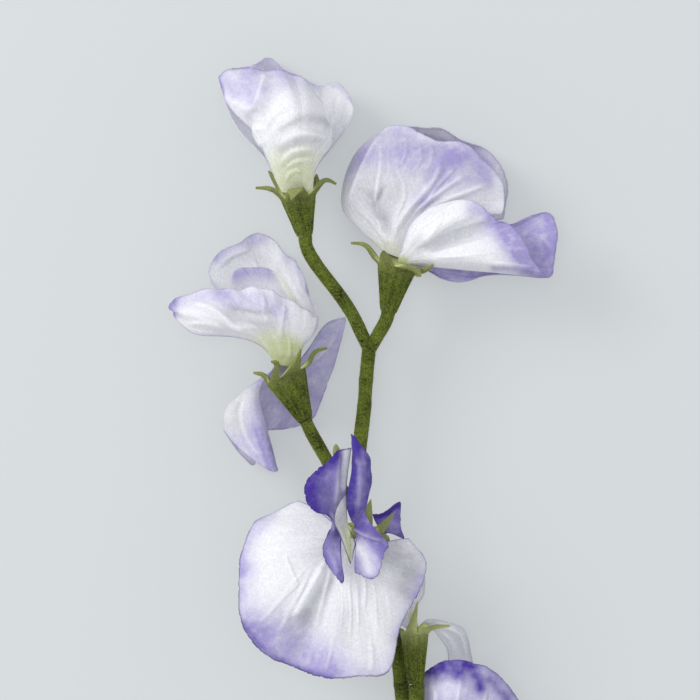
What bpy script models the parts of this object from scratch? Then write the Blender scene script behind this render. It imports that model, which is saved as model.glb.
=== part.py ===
"""A picked spray of sweet pea, six blossoms on one cut stem, laid down on a flat surface.

Every petal is a fan: a narrow foot inside the calyx, and rays that run from the foot to the petal's
edge. A smooth sheet through the rays gets a thickness. Points are in millimetres in the spray's own
frame: x to the right, y along the stem towards its top, z up, with the main stem's top half at z = 0.
"""

import math

import bmesh
import bpy
import numpy as np

MM = 0.001
OBJECT_NAME = "sweet_pea_flower"

EYE_HEIGHT = 875.0        # outlines are drawn as they look from this height above the main stem
REST_DEPTH = 18.0         # the surface that the spray lies on is this far below the main stem's axis
SPRAY_MIDDLE = (3.47, -58.78)   # the point over which the spray's box is centred

PETAL_THICKNESS = 0.6
CALYX_WALL = 0.6
CALYX_SIDES = 20
CALYX_TEETH = 5
TOOTH_TAPER = 0.35            # how much narrower a tooth's tip is than its foot
TOOTH_GAP = 0.08              # height of the rim between two teeth, as a share of a tooth
TOOTH_THINNING = 0.5          # how much thinner a tooth's tip is than the calyx's wall
TOOTH_STEP = 0.02             # share of a tooth over which its direction is measured

# Level along the cup, share of its radius, share of a tooth's length, and which face of the wall.
CALYX_PROFILE = (
    (0, 0, 0, 0),
    (0, 1, 0, 0),
    (0.5, 1, 0, 0),
    (1, 1, 0, 0),
    (1, 1, 0.35, 0),
    (1, 1, 0.7, 0),
    (1, 1, 1, 0),
    (1, 1, 1, 1),
    (1, 1, 0.7, 1),
    (1, 1, 0.35, 1),
    (1, 1, 0, 1),
    (0.35, 1, 0, 1),
    (0.35, 0, 0, 1),
)
STEM_STEP = 2.2               # spacing of the points along a stem, in stem radii
MERGE_DISTANCE = 0.00001      # metres
FLOCK_ROUGHNESS = 0.9
CLOTH_ROUGHNESS = 0.7

# Colours are linear RGB with full alpha.
WHITE = (0.84, 0.83, 0.90, 1.0)
PALE_LILAC = (0.58, 0.54, 0.80, 1.0)
LILAC = (0.42, 0.38, 0.70, 1.0)
PURPLE = (0.14, 0.08, 0.42, 1.0)
CREAM = (0.74, 0.78, 0.50, 1.0)
STEM_GREEN = (0.10, 0.15, 0.03, 1.0)
CALYX_GREEN = (0.13, 0.19, 0.04, 1.0)

# name: material colour, columns and rows of the sheet, the foot's points and the rays, edge to edge.
PETALS = {
    # First blossom, upper left, half open.
    "standard_1": (PALE_LILAC, 14, 7, [(-16.6, 40, -2.6), (-11.4, 40, -2.8)], [
        [(-20, 50, -6), (-25, 60, -9), (-29.5, 70.4, -7)],
        [(-18.5, 51, -9), (-21.5, 62, -15), (-24.5, 71.3, -12)],
        [(-16, 51, -11), (-18, 62, -18.5), (-20.5, 72.9, -14)],
        [(-13, 51, -12), (-13, 61, -19.5), (-14.5, 69.5, -14)],
        [(-10.5, 50, -11), (-8.8, 59, -18), (-8, 66.3, -13)],
        [(-8.5, 49, -8.5), (-4.5, 57, -12.5), (-3, 66.6, -10)],
        [(-7.5, 48, -6), (-2.5, 54.5, -8), (0.5, 61.5, -7)],
        [(-7.8, 46.5, -4.5), (-4.5, 50.5, -6), (-0.8, 55.5, -5)]]),
    "wing_left_1": (PALE_LILAC, 8, 6, [(-16.4, 40.2, -1.2), (-15.2, 40.2, -1.4)], [
        [(-22, 48.8, -1), (-28.5, 56, -1.5), (-33, 67.5, 0)],
        [(-20.5, 49, -3.5), (-25, 58, -6), (-29, 68, -5)],
        [(-19, 49, -4.5), (-22, 58, -7.5), (-24, 68.5, -7)],
        [(-17, 49, -4.5), (-18.5, 57.5, -8), (-19, 68, -8)]]),
    "wing_right_1": (WHITE, 13, 8, [(-16.9, 39.4, 1.6), (-9.4, 39.4, 1.8)], [
        [(-20.2, 46.2, 3), (-24, 54, 4.5), (-29.2, 60, 4.5), (-33, 68.3, 2.5)],
        [(-18.6, 47.5, 6), (-21, 55.5, 8), (-25.6, 62.5, 7.5), (-30.2, 70.1, 3.5)],
        [(-16.8, 48, 8), (-18.2, 56.5, 10.5), (-21, 64, 9), (-25, 70.3, 3)],
        [(-14.5, 48, 9), (-15, 57, 12.5), (-16.5, 65, 9.5), (-19.5, 70, 3)],
        [(-12.5, 48, 9), (-12, 56.5, 12), (-12.3, 63, 9), (-14, 68.8, 3)],
        [(-11, 47.5, 8), (-9, 55, 9.5), (-8.7, 61, 6.5), (-9.8, 65.8, 2)],
        [(-9.6, 46, 6), (-7, 51.5, 5.5), (-5.6, 55.5, 3.5), (-6.2, 59.2, 0.5)],
        [(-8.8, 44.5, 3.6), (-7, 48.2, 3), (-5.3, 51, 1.6), (-4.6, 54, 0.4)]]),
    "keel_1": (CREAM, 6, 5, [(-14.4, 40.5, 0.1), (-12.6, 40.5, 0.1)], [
        [(-15.5, 47, 0), (-17, 54, -0.5), (-17.5, 60, -0.5)],
        [(-14, 48, -2), (-14.5, 55, -3), (-15.5, 62, -2.5)],
        [(-12.5, 47, 0.5), (-11.2, 53, 0.5), (-12.5, 59, -0.5)]]),
    # Second blossom, upper right, its wings held out to the right.
    "standard_2": (PALE_LILAC, 22, 7, [(12.6, 23, -1.4), (8.6, 24.5, -2.6), (12.2, 23.4, -3.6)], [
        [(16, 28, 0.5), (23, 31.5, 2), (31, 33.5, 2), (37.8, 34, 0)],
        [(15.5, 30, 1), (22.5, 36, 3.5), (31, 39.5, 3.5), (38.6, 40, 0)],
        [(14, 31.5, 1), (19.5, 39, 4), (27, 45, 4), (33.8, 47, 0.5)],
        [(12, 32, 0.5), (15.5, 41, 4), (20.5, 47.5, 4), (27.2, 51.9, 1)],
        [(9.5, 32, -0.5), (11, 41, 3), (14.5, 48.5, 3.5), (20.8, 52.4, 1)],
        [(6.5, 31.5, -2), (5.5, 41, 1), (8.5, 49, 1), (14, 55.9, -1.5)],
        [(0.6, 32, -5), (-2.1, 38, -6), (1, 48.8, -6), (8.5, 55, -5)],
        [(5, 32, -9), (3, 41, -14), (8, 50, -14), (16.5, 55.6, -8)],
        [(8, 32, -11), (10, 42, -18.5), (15, 50, -18), (22.7, 55.1, -10)],
        [(11, 32, -12), (16, 41, -19.5), (23, 48, -19), (30.3, 51.6, -12)],
        [(14, 31.5, -11.5), (21, 38, -19.5), (29, 43, -19), (37.2, 46.9, -11)],
        [(16, 30, -10), (24, 34, -16), (32, 37, -15.5), (39.5, 39.5, -8)],
        [(16, 28, -7.5), (24, 30, -11), (31, 31.5, -11), (38, 33, -6)]]),
    "wing_right_2": (WHITE, 14, 7, [(12, 22, 2.2), (13.9, 21.5, 2.2)], [
        [(13.4, 27, 4), (15.3, 31.5, 5.5), (19.5, 35.3, 5.5)],
        [(15.5, 27.5, 6.5), (20, 32.5, 9), (26.5, 37.4, 8)],
        [(17, 27, 7), (23.5, 31.5, 10), (32.5, 36.3, 9)],
        [(18, 26, 6.5), (26.5, 29.8, 8), (36.8, 32.5, 8)],
        [(18.5, 25, 6.5), (28.5, 27.5, 9), (40.5, 31, 8)],
        [(18.5, 24, 6.5), (30, 25, 11), (44.5, 25, 9)],
        [(18.5, 22.9, 6), (31.5, 22.5, 11), (47, 20.8, 8)],
        [(18, 21.8, 4.5), (31, 20.8, 8), (48.8, 18.2, 6.5)],
        [(17.5, 21.2, 2.7), (29, 20.1, 4.5), (42, 19.3, 4.5)]]),
    "wing_left_2": (LILAC, 12, 7, [(14.2, 21.6, -0.9), (13.2, 21.2, -1.6)], [
        [(21, 25.5, 0), (31, 28.5, 1.5), (44, 32.8, 2.5)],
        [(22, 24.5, -1), (34, 27, 0.5), (50, 34.1, 3)],
        [(22, 23.5, -1.5), (36, 25, 0), (51.9, 28, 2.5)],
        [(22, 22.3, -2), (36, 22.5, -1), (51, 22, 2)],
        [(21.5, 21.2, -2.5), (34, 20.5, -1.5), (49.3, 18, 2)],
        [(20.5, 20.2, -2.5), (30, 18.6, -1.5), (38, 19.2, 0.5)],
        [(19, 20, -3), (24, 18.2, -2), (29, 17.2, -0.6)],
        [(17.6, 20.6, -3), (19.8, 19.6, -2.4), (22.5, 18, -1.6)]]),
    "keel_2": (CREAM, 6, 5, [(14.2, 21.9, 0.7), (14.4, 20.9, 0.5)], [
        [(19, 24.4, 2.5), (25, 26.5, 3.7), (33, 27.6, 4.4)],
        [(19.5, 23.2, 2), (26, 24.2, 2.7), (36, 25.3, 3.9)],
        [(19, 22, 2), (25, 22.2, 2.4), (33, 22.8, 3.4)]]),
    # Third blossom, middle left: the standard hangs down behind the calyx.
    "standard_3": (LILAC, 20, 7, [(-13.6, -3.8, -1.8), (-16, -3.4, -2.8), (-18.4, -3.6, -1.8)], [
        [(-9.5, 1.5, -6), (-6, 6.5, -7.5), (-1, 8.3, -7)],
        [(-9, 0, -8), (-6, 1, -10), (-2.1, 2.5, -9)],
        [(-10, -4, -9.5), (-8.5, -6.5, -12), (-5.8, -9, -11)],
        [(-12, -6.6, -11), (-11, -12, -15), (-9.3, -17, -13)],
        [(-15, -8.6, -12), (-15.5, -14, -17.5), (-15.8, -19.6, -16)],
        [(-19.2, -8.2, -12), (-21, -15, -18.5), (-22.5, -22, -18.5)],
        [(-22, -9, -9), (-24.5, -16, -14), (-24.6, -28.7, -14)],
        [(-25.6, -9.6, -5.5), (-30.6, -14.5, -7), (-31.2, -20.5, -9)],
        [(-24.5, -9.8, -3.8), (-28, -16, -3.5), (-26.8, -25.3, -5)],
        [(-23.4, -10, -3.6), (-23.8, -17, -2.5), (-19.2, -30.5, -5)],
        [(-22.6, -10, -3.8), (-21.5, -17, -3.5), (-18.5, -27.5, -6)]]),
    "wing_right_3": (WHITE, 15, 8, [(-18.6, -3.6, 1.8), (-15.6, -3.8, 2.7), (-12.6, -4.2, 1.9)], [
        [(-22.3, 1, 4), (-30, 3.4, 7), (-38.5, 4, 7), (-43.4, 8.2, 4)],
        [(-21.5, 2, 6.5), (-29.5, 6, 11), (-38, 7.8, 11), (-44.9, 10.6, 6)],
        [(-20.5, 3, 8), (-27.5, 8, 12), (-35.6, 11, 12), (-43.2, 13.1, 8)],
        [(-19.5, 3.5, 9), (-25, 8.5, 13.5), (-31, 13, 13), (-35, 15.4, 10)],
        [(-18, 3.5, 9.5), (-22, 8.5, 14), (-26, 13, 13.5), (-28, 15.2, 11)],
        [(-16.5, 3.5, 9.5), (-19, 8.5, 13.5), (-21.5, 13, 13), (-22.3, 15.6, 11)],
        [(-15, 3, 8.5), (-15.5, 7, 12), (-16.5, 10.5, 12), (-16.8, 13.4, 10)],
        [(-13.2, 2, 7), (-12, 5, 8.5), (-11.5, 8, 9), (-11.5, 10.3, 8)],
        [(-11.8, 0.8, 4.5), (-10, 3, 4.5), (-8.7, 5.5, 4.5), (-8.2, 8, 4)]]),
    "wing_left_3": (WHITE, 12, 8, [(-17, -4, -0.6), (-13.2, -4.2, -0.8)], [
        [(-20, 3, -2), (-28, 10, -3), (-35, 16.5, -2)],
        [(-19.5, 6, -5), (-26.5, 15, -8), (-34.3, 22.5, -5)],
        [(-18, 7, -7), (-22.5, 18, -11), (-27.5, 27.2, -7)],
        [(-16, 7, -8), (-18.5, 18, -12), (-21.3, 29, -7.5)],
        [(-14, 6.5, -7.5), (-14.5, 16, -11), (-16, 24, -7)],
        [(-12.5, 5, -6), (-11.5, 13, -8), (-12.7, 20.5, -5)],
        [(-11.5, 3.5, -4), (-9, 9, -4.5), (-10.5, 14.5, -2.5)],
        [(-11.5, 1.5, -1.5), (-8.5, 5, -1), (-7.8, 8.3, -0.5)]]),
    "keel_3": (CREAM, 8, 6, [(-15.8, -3.9, 0.8), (-13.8, -4, 0.8)], [
        [(-20, 4, 3), (-25, 11, 5), (-29.8, 16.5, 6)],
        [(-19, 6, 1.5), (-24, 14, 2), (-28.5, 20, 4)],
        [(-17.5, 6.5, 1), (-20.5, 14.5, 1), (-23, 20.7, 3)],
        [(-16, 6, 1), (-17, 13, 1), (-18, 19, 2.5)],
        [(-14.5, 4.5, 2), (-14, 9, 3), (-13.5, 12.5, 4.5)]]),
    # Fourth blossom, lowest and in front, open towards the eye.
    "standard_4": (WHITE, 22, 8, [(-1.7, -45.3, 11), (0.9, -47.2, 11.6), (3.4, -46.2, 11)], [
        [(-5, -42.5, 9), (-9, -39.5, 8), (-13, -37.8, 7)],
        [(-7.5, -44, 10.5), (-15, -42.5, 11), (-21.5, -41.8, 9)],
        [(-8.5, -47, 12), (-17.5, -47.5, 13.5), (-26.3, -47.5, 10)],
        [(-8.5, -50.5, 13), (-18, -54.5, 15), (-27.8, -57.5, 12)],
        [(-8, -53.5, 13.5), (-16.5, -60.5, 15.5), (-27.4, -67.5, 14)],
        [(-6.5, -56, 13), (-13, -66, 13), (-22, -75.5, 12)],
        [(-4, -57.5, 12), (-7.5, -68, 10.5), (-13.5, -79.6, 10)],
        [(-1.5, -58.5, 13), (-3, -69.5, 13), (-5, -82.2, 12)],
        [(1, -58.5, 13), (1.5, -69.5, 13.5), (3, -81.6, 12)],
        [(3.5, -57.5, 12.5), (6.5, -68, 12.5), (9.8, -80, 11)],
        [(5.5, -55.5, 11.5), (9, -62.5, 11.5), (12.8, -69, 9.5)],
        [(7, -53, 10), (12.3, -57, 9.5), (18.1, -58.5, 7.5)],
        [(7.2, -50.6, 9.4), (12.4, -51.6, 8.4), (18.3, -51.6, 6.6)],
        [(6.5, -48.4, 9), (10.5, -47.6, 8), (14.6, -47.2, 6.4)]]),
    "wing_left_4": (PURPLE, 16, 7, [(-1.1, -42.3, 14), (-1.9, -43.5, 13.6), (-1.9, -45, 13.5)], [
        [(-1, -36, 16), (-0.6, -30.5, 18), (0.3, -24.4, 19)],
        [(-2.5, -36, 17), (-3, -31, 20), (-3, -25.3, 21)],
        [(-4.2, -36.5, 17.5), (-5.3, -32.5, 21), (-7, -28.9, 22.5)],
        [(-5, -37.5, 17.5), (-7.6, -35, 21), (-10.7, -32.3, 22.5)],
        [(-5, -39, 17), (-8, -37.5, 20), (-11.3, -36.3, 21)],
        [(-4.4, -40.5, 16), (-6.6, -40, 18), (-9, -40.2, 19)],
        [(-3.8, -42, 15), (-4.8, -42, 16), (-5.2, -41.6, 17)],
        [(-3.2, -44, 14.5), (-3.9, -45, 15.5), (-5.3, -45.3, 16.5)],
        [(-3.4, -46.5, 14.6), (-5, -48.5, 16), (-6.9, -50.3, 17)],
        [(-3.2, -48, 14.8), (-4.3, -51.2, 16.5), (-5.3, -54.2, 17.5)],
        [(-2.8, -48.5, 15.2), (-3, -53, 17), (-2.2, -58.2, 18.5)],
        [(-2.3, -48, 15.4), (-2.2, -52, 17), (-1.6, -56.3, 18)]]),
    "wing_right_4": (PURPLE, 16, 7, [(0.3, -42.5, 14), (1.4, -44, 13.6), (1.8, -45.3, 13.5)], [
        [(-0.8, -37.5, 19), (0.6, -29.5, 22), (0.5, -23.3, 21)],
        [(0.8, -37, 20), (1.8, -30, 23), (0.6, -21, 21.5)],
        [(2.2, -37, 20), (3.2, -31, 23), (3.8, -25.3, 21)],
        [(3.4, -37.5, 19), (4.4, -32.5, 21), (5.2, -29.3, 19.5)],
        [(3.6, -39.5, 17.5), (4.4, -37, 18.5), (4.8, -35, 18)],
        [(3.2, -42, 16), (3.8, -42, 16.5), (4.1, -41.3, 16.5)],
        [(3.8, -44.4, 16), (6, -46, 17), (9, -47.6, 17)],
        [(3.8, -45.6, 16), (6, -47.6, 17), (9.1, -50, 17.2)],
        [(3, -47, 15.5), (5.4, -51, 16.8), (7.9, -53.9, 17)],
        [(2.6, -47.5, 15.2), (4.4, -52, 16.5), (6.4, -57, 17)],
        [(2, -48, 15), (2.8, -52.5, 16.3), (3.6, -56.8, 16.5)],
        [(1.5, -48, 14.8), (1.2, -51.5, 15.8), (1.2, -55.5, 16)]]),
    "keel_4": (CREAM, 8, 6, [(-0.5, -43.6, 14.7), (0.3, -44.6, 14.6)], [
        [(-0.8, -41, 15.6), (-0.9, -38.5, 17), (-1.1, -35.8, 18)],
        [(-1.6, -41.5, 16), (-2.2, -39.5, 17.8), (-2.6, -38, 18.6)],
        [(-2.2, -42.3, 16.2), (-3.1, -41.5, 17.8), (-3.8, -40.8, 18.6)],
        [(-2, -43.3, 15.9), (-3, -43.5, 17.2), (-3.8, -43.6, 18.2)],
        [(-1.4, -44.5, 15.4), (-2, -45.5, 16.6), (-2.6, -46, 17.4)],
        [(-0.5, -46, 15.2), (-0.5, -49, 15.9), (-0.6, -51.5, 16.5)],
        [(0.1, -46.3, 15), (0.1, -50, 15.3), (0.2, -53.5, 15.5)]]),
    "rear_petal_4": (PURPLE, 8, 6, [(7.4, -44.6, 5.6), (8.4, -46.4, 5.2)], [
        [(6.6, -43.4, 5.4), (5.9, -42, 5.6), (5.6, -40.9, 5.8)],
        [(7.8, -43.2, 5.2), (7.9, -41.8, 5.2), (8.4, -40.5, 5.6)],
        [(9, -43, 4.8), (10.6, -40.6, 4.6), (12.4, -38.1, 5.4)],
        [(9.8, -44, 4.6), (11.4, -42.8, 4.2), (12.6, -41.8, 4.4)],
        [(9.6, -45.8, 4.8), (11.5, -46.4, 4.2), (13.7, -47.4, 4)]]),
    # Fifth blossom, half hidden behind the fourth.
    "standard_5": (WHITE, 9, 7, [(14, -69.6, 1.4), (17.2, -69.2, 1)], [
        [(11.5, -65, -0.5), (8.5, -58, -4.5), (4.5, -52, -7)],
        [(13, -63.5, -3), (11.5, -56, -8), (10, -50.5, -9)],
        [(14.8, -63.5, -4), (14.8, -57, -8.5), (15, -51.5, -9)],
        [(16.6, -64.6, -3.5), (18.4, -61.5, -6), (18.8, -57.5, -7.5)]]),
    "wing_right_5": (WHITE, 10, 10, [(16.9, -69.8, 3.4), (18, -70, 2.4)], [
        [(19.8, -67.3, 2), (25.4, -68.2, -1), (29.2, -71, -5), (30.8, -80, -12)],
        [(20.2, -68.2, 1.1), (25.4, -69.7, -2.5), (28.2, -73.6, -7.5), (31.4, -86, -16.5)],
        [(20.4, -68.9, 0.1), (24.5, -71.2, -3), (26.8, -76, -8.5), (28, -91, -18.5)],
        [(20.3, -69.6, -0.9), (22.8, -72.6, -2.8), (24.6, -77, -7.5), (23, -88, -15)]]),
    "wing_left_5": (PALE_LILAC, 8, 6, [(14.6, -69.2, 4.4), (14.3, -69.6, 3.8)], [
        [(11.6, -65.8, 5.4), (7, -63.4, 7.2), (3, -62, 7.2)],
        [(11, -67.3, 5.6), (5.5, -67.5, 7.6), (0.5, -68, 7.4)],
        [(10.6, -68.8, 5.4), (6, -71.6, 7), (2, -73, 6.8)]]),
    "keel_5": (CREAM, 6, 5, [(15.2, -70.6, 3.2), (16.4, -70.4, 3)], [
        [(14.6, -67, 4.5), (12.8, -62.5, 5), (11, -59.5, 4.6)],
        [(15, -66.5, 4.8), (14, -62, 5.4), (13, -58.5, 5.2)],
        [(15.6, -66.4, 4.2), (15.2, -62.5, 4.6), (14.6, -59.5, 4.4)]]),
    # Sixth blossom, low on the right of the stem.
    "standard_6": (PURPLE, 15, 8, [(22.6, -118.2, 1.4), (25.6, -118.4, 1.4)], [
        [(20, -109, 0.5), (17, -98, -1.6), (16.6, -84, -2.4)],
        [(20.8, -108, 2.2), (19.5, -95, 1.4), (18.9, -80.5, 0.2)],
        [(22.5, -107, 4.5), (23.5, -92, 8), (24.5, -77.5, 6)],
        [(25.2, -107, 5), (28.2, -92, 9), (30.5, -78.1, 6.5)],
        [(28, -107.5, 4.5), (33, -94, 8), (36.3, -80.6, 5.5)],
        [(29.8, -109, 3), (36.5, -98, 5.5), (42.3, -87.6, 3.5)],
        [(30.4, -111.5, 1.5), (37.5, -104, 2), (45, -96, 0)],
        [(29.5, -114, 0.5), (35.5, -109.5, -0.5), (41.5, -104, -2.5)]]),
    "wing_right_6": (PALE_LILAC, 8, 6, [(25.2, -119.6, 3.2), (27, -119.8, 2.6)], [
        [(27.5, -112.5, 8), (30, -105.5, 12.5), (33, -99.5, 14.5)],
        [(29.5, -112.8, 8.5), (34.5, -107, 13), (40, -102.5, 13.5)],
        [(31, -114, 8.5), (36.5, -110.5, 12), (44, -108.5, 11.5)],
        [(31, -116, 7), (36.5, -115, 9.5), (43, -115, 8.5)],
        [(30, -118, 4.8), (34.5, -118.5, 6.5), (39, -119, 6)]]),
    "wing_left_6": (PALE_LILAC, 8, 6, [(24.4, -119.6, -1.8), (26, -120, -1.4)], [
        [(26, -110, -6), (28, -103, -9), (30, -97, -10)],
        [(28.5, -111, -7), (34, -105, -12), (38, -100, -13)],
        [(30, -113, -7.5), (36.5, -110, -13.5), (43, -108, -14)],
        [(29.5, -115.5, -6.5), (35.5, -115, -11), (41, -117, -12)],
        [(28.5, -117.5, -4.5), (32.5, -119, -7.5), (36.5, -121, -8.5)]]),
    "keel_6": (CREAM, 6, 5, [(26, -119.2, 0.2), (26.8, -119.9, 0.2)], [
        [(29, -115, 0.4), (33, -111.5, -2), (38, -109.5, -3)],
        [(29.5, -115.8, -0.4), (34, -113.5, -2.6), (40, -112, -3.5)],
        [(29.6, -117, 0.2), (34, -116, -0.6), (38.5, -115.5, -1.2)]]),
}

# name: base middle and radius, rim middle and its radius across and deep, then each tooth's turn
# round the rim in degrees (0 right, 90 up) and the points that it reaches to.
CALYXES = {
    "calyx_1": ((-11.3, 28.6, 0), 1.95, (-12.9, 38, 0), (4.3, 4.2), [
        (0, [(-7.3, 40.6, 0), (-5.8, 42, 0), (-3.6, 41.2, 0.3)]),
        (105, [(-13.8, 39.4, 5.6), (-14.6, 37.2, 6.6)]),
        (180, [(-19.8, 39.6, 0), (-23.6, 40.2, 0.5)]),
        (235, [(-18.2, 41.5, -5), (-20.5, 44.6, -6)]),
        (300, [(-8.6, 41.2, -4.6), (-8.2, 44, -5)])]),
    "calyx_2": ((9.6, 9.7, 0), 2.1, (11.8, 20.6, 0), (4.9, 4.7), [
        (20, [(18.2, 19.2, 4.6), (21, 21.1, 7.6)]),
        (70, [(15.8, 19.9, 6.4), (17.6, 18.2, 7)]),
        (128, [(8.4, 23.4, 4.4), (8.2, 24.9, 4.6)]),
        (180, [(5.2, 23.4, -0.5), (3.4, 25.8, -1), (0.2, 26.4, -1)]),
        (265, [(11.3, 23.6, -5.6), (11.6, 25.6, -6.4)])]),
    "calyx_3": ((-11.2, -17.4, 0), 1.95, (-16, -6.6, 0), (5.2, 4.5), [
        (0, [(-9.6, -3.2, 0), (-8.4, -0.9, 0), (-5.6, 0.2, 0.3)]),
        (80, [(-13.4, -3.4, 6.4), (-12.2, 0.2, 8)]),
        (140, [(-18.6, -4.2, 6), (-19.8, -3.2, 6.8)]),
        (185, [(-22, -6.8, 1), (-24.2, -6, 1.6)]),
        (265, [(-16.4, -7.4, -5.4), (-16.4, -8.6, -6.2)])]),
    "calyx_4": ((1.1, -49.6, 2.6), 1.8, (2.7, -46, 7.4), (4, 3.8), [
        (15, [(8.2, -47.4, 6.8), (9.6, -48.6, 6)]),
        (90, [(1.8, -51, 10.6), (2, -53.4, 10)]),
        (180, [(-2.6, -44.6, 8.6), (-4.6, -44.4, 8.4)]),
        (270, [(4.6, -41.6, 7.4), (5.3, -37.1, 9)]),
        (325, [(8.6, -44.4, 7.6), (10.9, -40.8, 9)])]),
    "calyx_5": ((16.4, -83.5, 3.2), 1.85, (16.2, -71.2, 3.2), (3.3, 3.3), [
        (0, [(21, -69.9, 3.2), (25, -69.3, 3.6)]),
        (50, [(18.7, -69.4, 6.4), (19.4, -69.4, 7.4)]),
        (110, [(15.9, -67.5, 6.2), (16.8, -62.8, 6.2)]),
        (180, [(12.1, -70.6, 2.6), (10.9, -70.6, 2.2)]),
        (270, [(16, -69.3, -1.6), (16.2, -68.2, -2.8)])]),
    "calyx_6": ((21.7, -127.2, 0), 2.0, (24.6, -119.6, 0.3), (4.4, 4.3), [
        (0, [(30.2, -121.8, 0.3), (32.4, -124, 0.6)]),
        (80, [(26.4, -117.8, 6.4), (27.4, -116.8, 8.6)]),
        (140, [(21, -115.6, 4), (18.6, -114.6, 5)]),
        (205, [(19.6, -115.6, -2.4), (16.6, -116.4, -3.4)]),
        (275, [(25.4, -116.2, -5.4), (26, -114, -6.4)])]),
}

# name: colour, radius and route.
STEMS = {
    "main_stem": (STEM_GREEN, 1.75, [
        (5, 2.6, 0), (4.6, -1.6, 0), (4, -8, 0), (3.6, -14, 0), (2.8, -21, 0), (2.2, -28, 0),
        (2.2, -36, 0), (3.6, -46, 0), (6.6, -57, 0), (9.8, -67, 0), (12, -77, 0),
        (13.2, -87, -0.6), (14.2, -101, -2.6), (14.8, -120, -6.2), (14.2, -142, -11),
        (12.8, -163, -15.2), (11.8, -176, -16.2), (11, -188, -16.2)]),
    "pedicel_1": (STEM_GREEN, 1.65, [
        (3, 3.8, 0), (0.6, 8.8, 0.4), (-3.3, 14.6, 0.5), (-7.2, 19.6, 0.3), (-10.5, 24.8, 0),
        (-11.2, 28, 0)]),
    "pedicel_2": (STEM_GREEN, 1.65, [(7, 3.8, 0), (8.4, 6.2, 0), (9.2, 8, 0), (9.48, 9.1, 0)]),
    "pedicel_3": (STEM_GREEN, 1.6, [
        (-1.8, -35.2, 0), (-3.8, -31.4, 0.9), (-5.8, -27.6, 1.3), (-8, -23.7, 1.1),
        (-9.9, -20.3, 0.3), (-10.96, -17.95, 0)]),
    "pedicel_4": (STEM_GREEN, 1.35, [
        (6.6, -69, 0), (4.4, -62, 0), (2.2, -56, 0.1), (0.9, -52.3, 0.7), (0.9, -50.3, 1.8)]),
    "pedicel_5": (STEM_GREEN, 1.7, [
        (15.7, -99.5, 1.9), (16.3, -94, 2.9), (16.7, -89, 3.2), (16.65, -84.1, 3.2)]),
    "pedicel_6": (STEM_GREEN, 1.65, [
        (18.6, -142, -9.8), (19.2, -136.6, -5.4), (20.4, -131.4, -1.2), (21.49, -127.76, 0)]),
}


def spline_weights(count, t):
    """Weights that read the natural cubic spline through `count` evenly spaced values at t in 0..1."""
    t = np.clip(np.asarray(t, float), 0, 1) * (count - 1)
    if count == 2:
        return np.stack([1 - t, t], 1)
    inner = np.arange(1, count - 1)
    slopes = np.eye(count)
    slopes[inner, inner - 1] = 1
    slopes[inner, inner] = 4
    slopes[inner, inner + 1] = 1
    bends = np.zeros((count, count))
    bends[inner, inner - 1] = 6
    bends[inner, inner] = -12
    bends[inner, inner + 1] = 6
    second = np.linalg.solve(slopes, bends)
    left = np.minimum(t.astype(int), count - 2)
    f = (t - left)[:, None]
    g = 1 - f
    value = np.eye(count)
    return (g * value[left] + f * value[left + 1]
            + (g ** 3 - g) / 6 * second[left] + (f ** 3 - f) / 6 * second[left + 1])


def placed(points):
    """Drawn millimetres to metres in the row's frame: undoes the eye's perspective, then shifts."""
    points = np.array(points, float)
    points[..., :2] *= 1 - points[..., 2:] / EYE_HEIGHT
    points -= (SPRAY_MIDDLE[0], SPRAY_MIDDLE[1], -REST_DEPTH)
    return points * MM


def petal_point(foot, rays, u, v):
    """Points of a petal's sheet: u from the first ray to the last, v from the foot to the edge."""
    rays = np.array(rays, float)
    ray_turns = np.linspace(0, 1, len(rays))
    feet = spline_weights(len(foot), ray_turns) @ np.array(foot, float)
    grid = np.concatenate([feet[:, None], rays], 1)
    across = spline_weights(grid.shape[0], u)
    along = spline_weights(grid.shape[1], v)
    return np.einsum("nr,rpk,np->nk", across, grid, along)


def unit(vector):
    """The vector at length one."""
    return vector / np.linalg.norm(vector)


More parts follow.
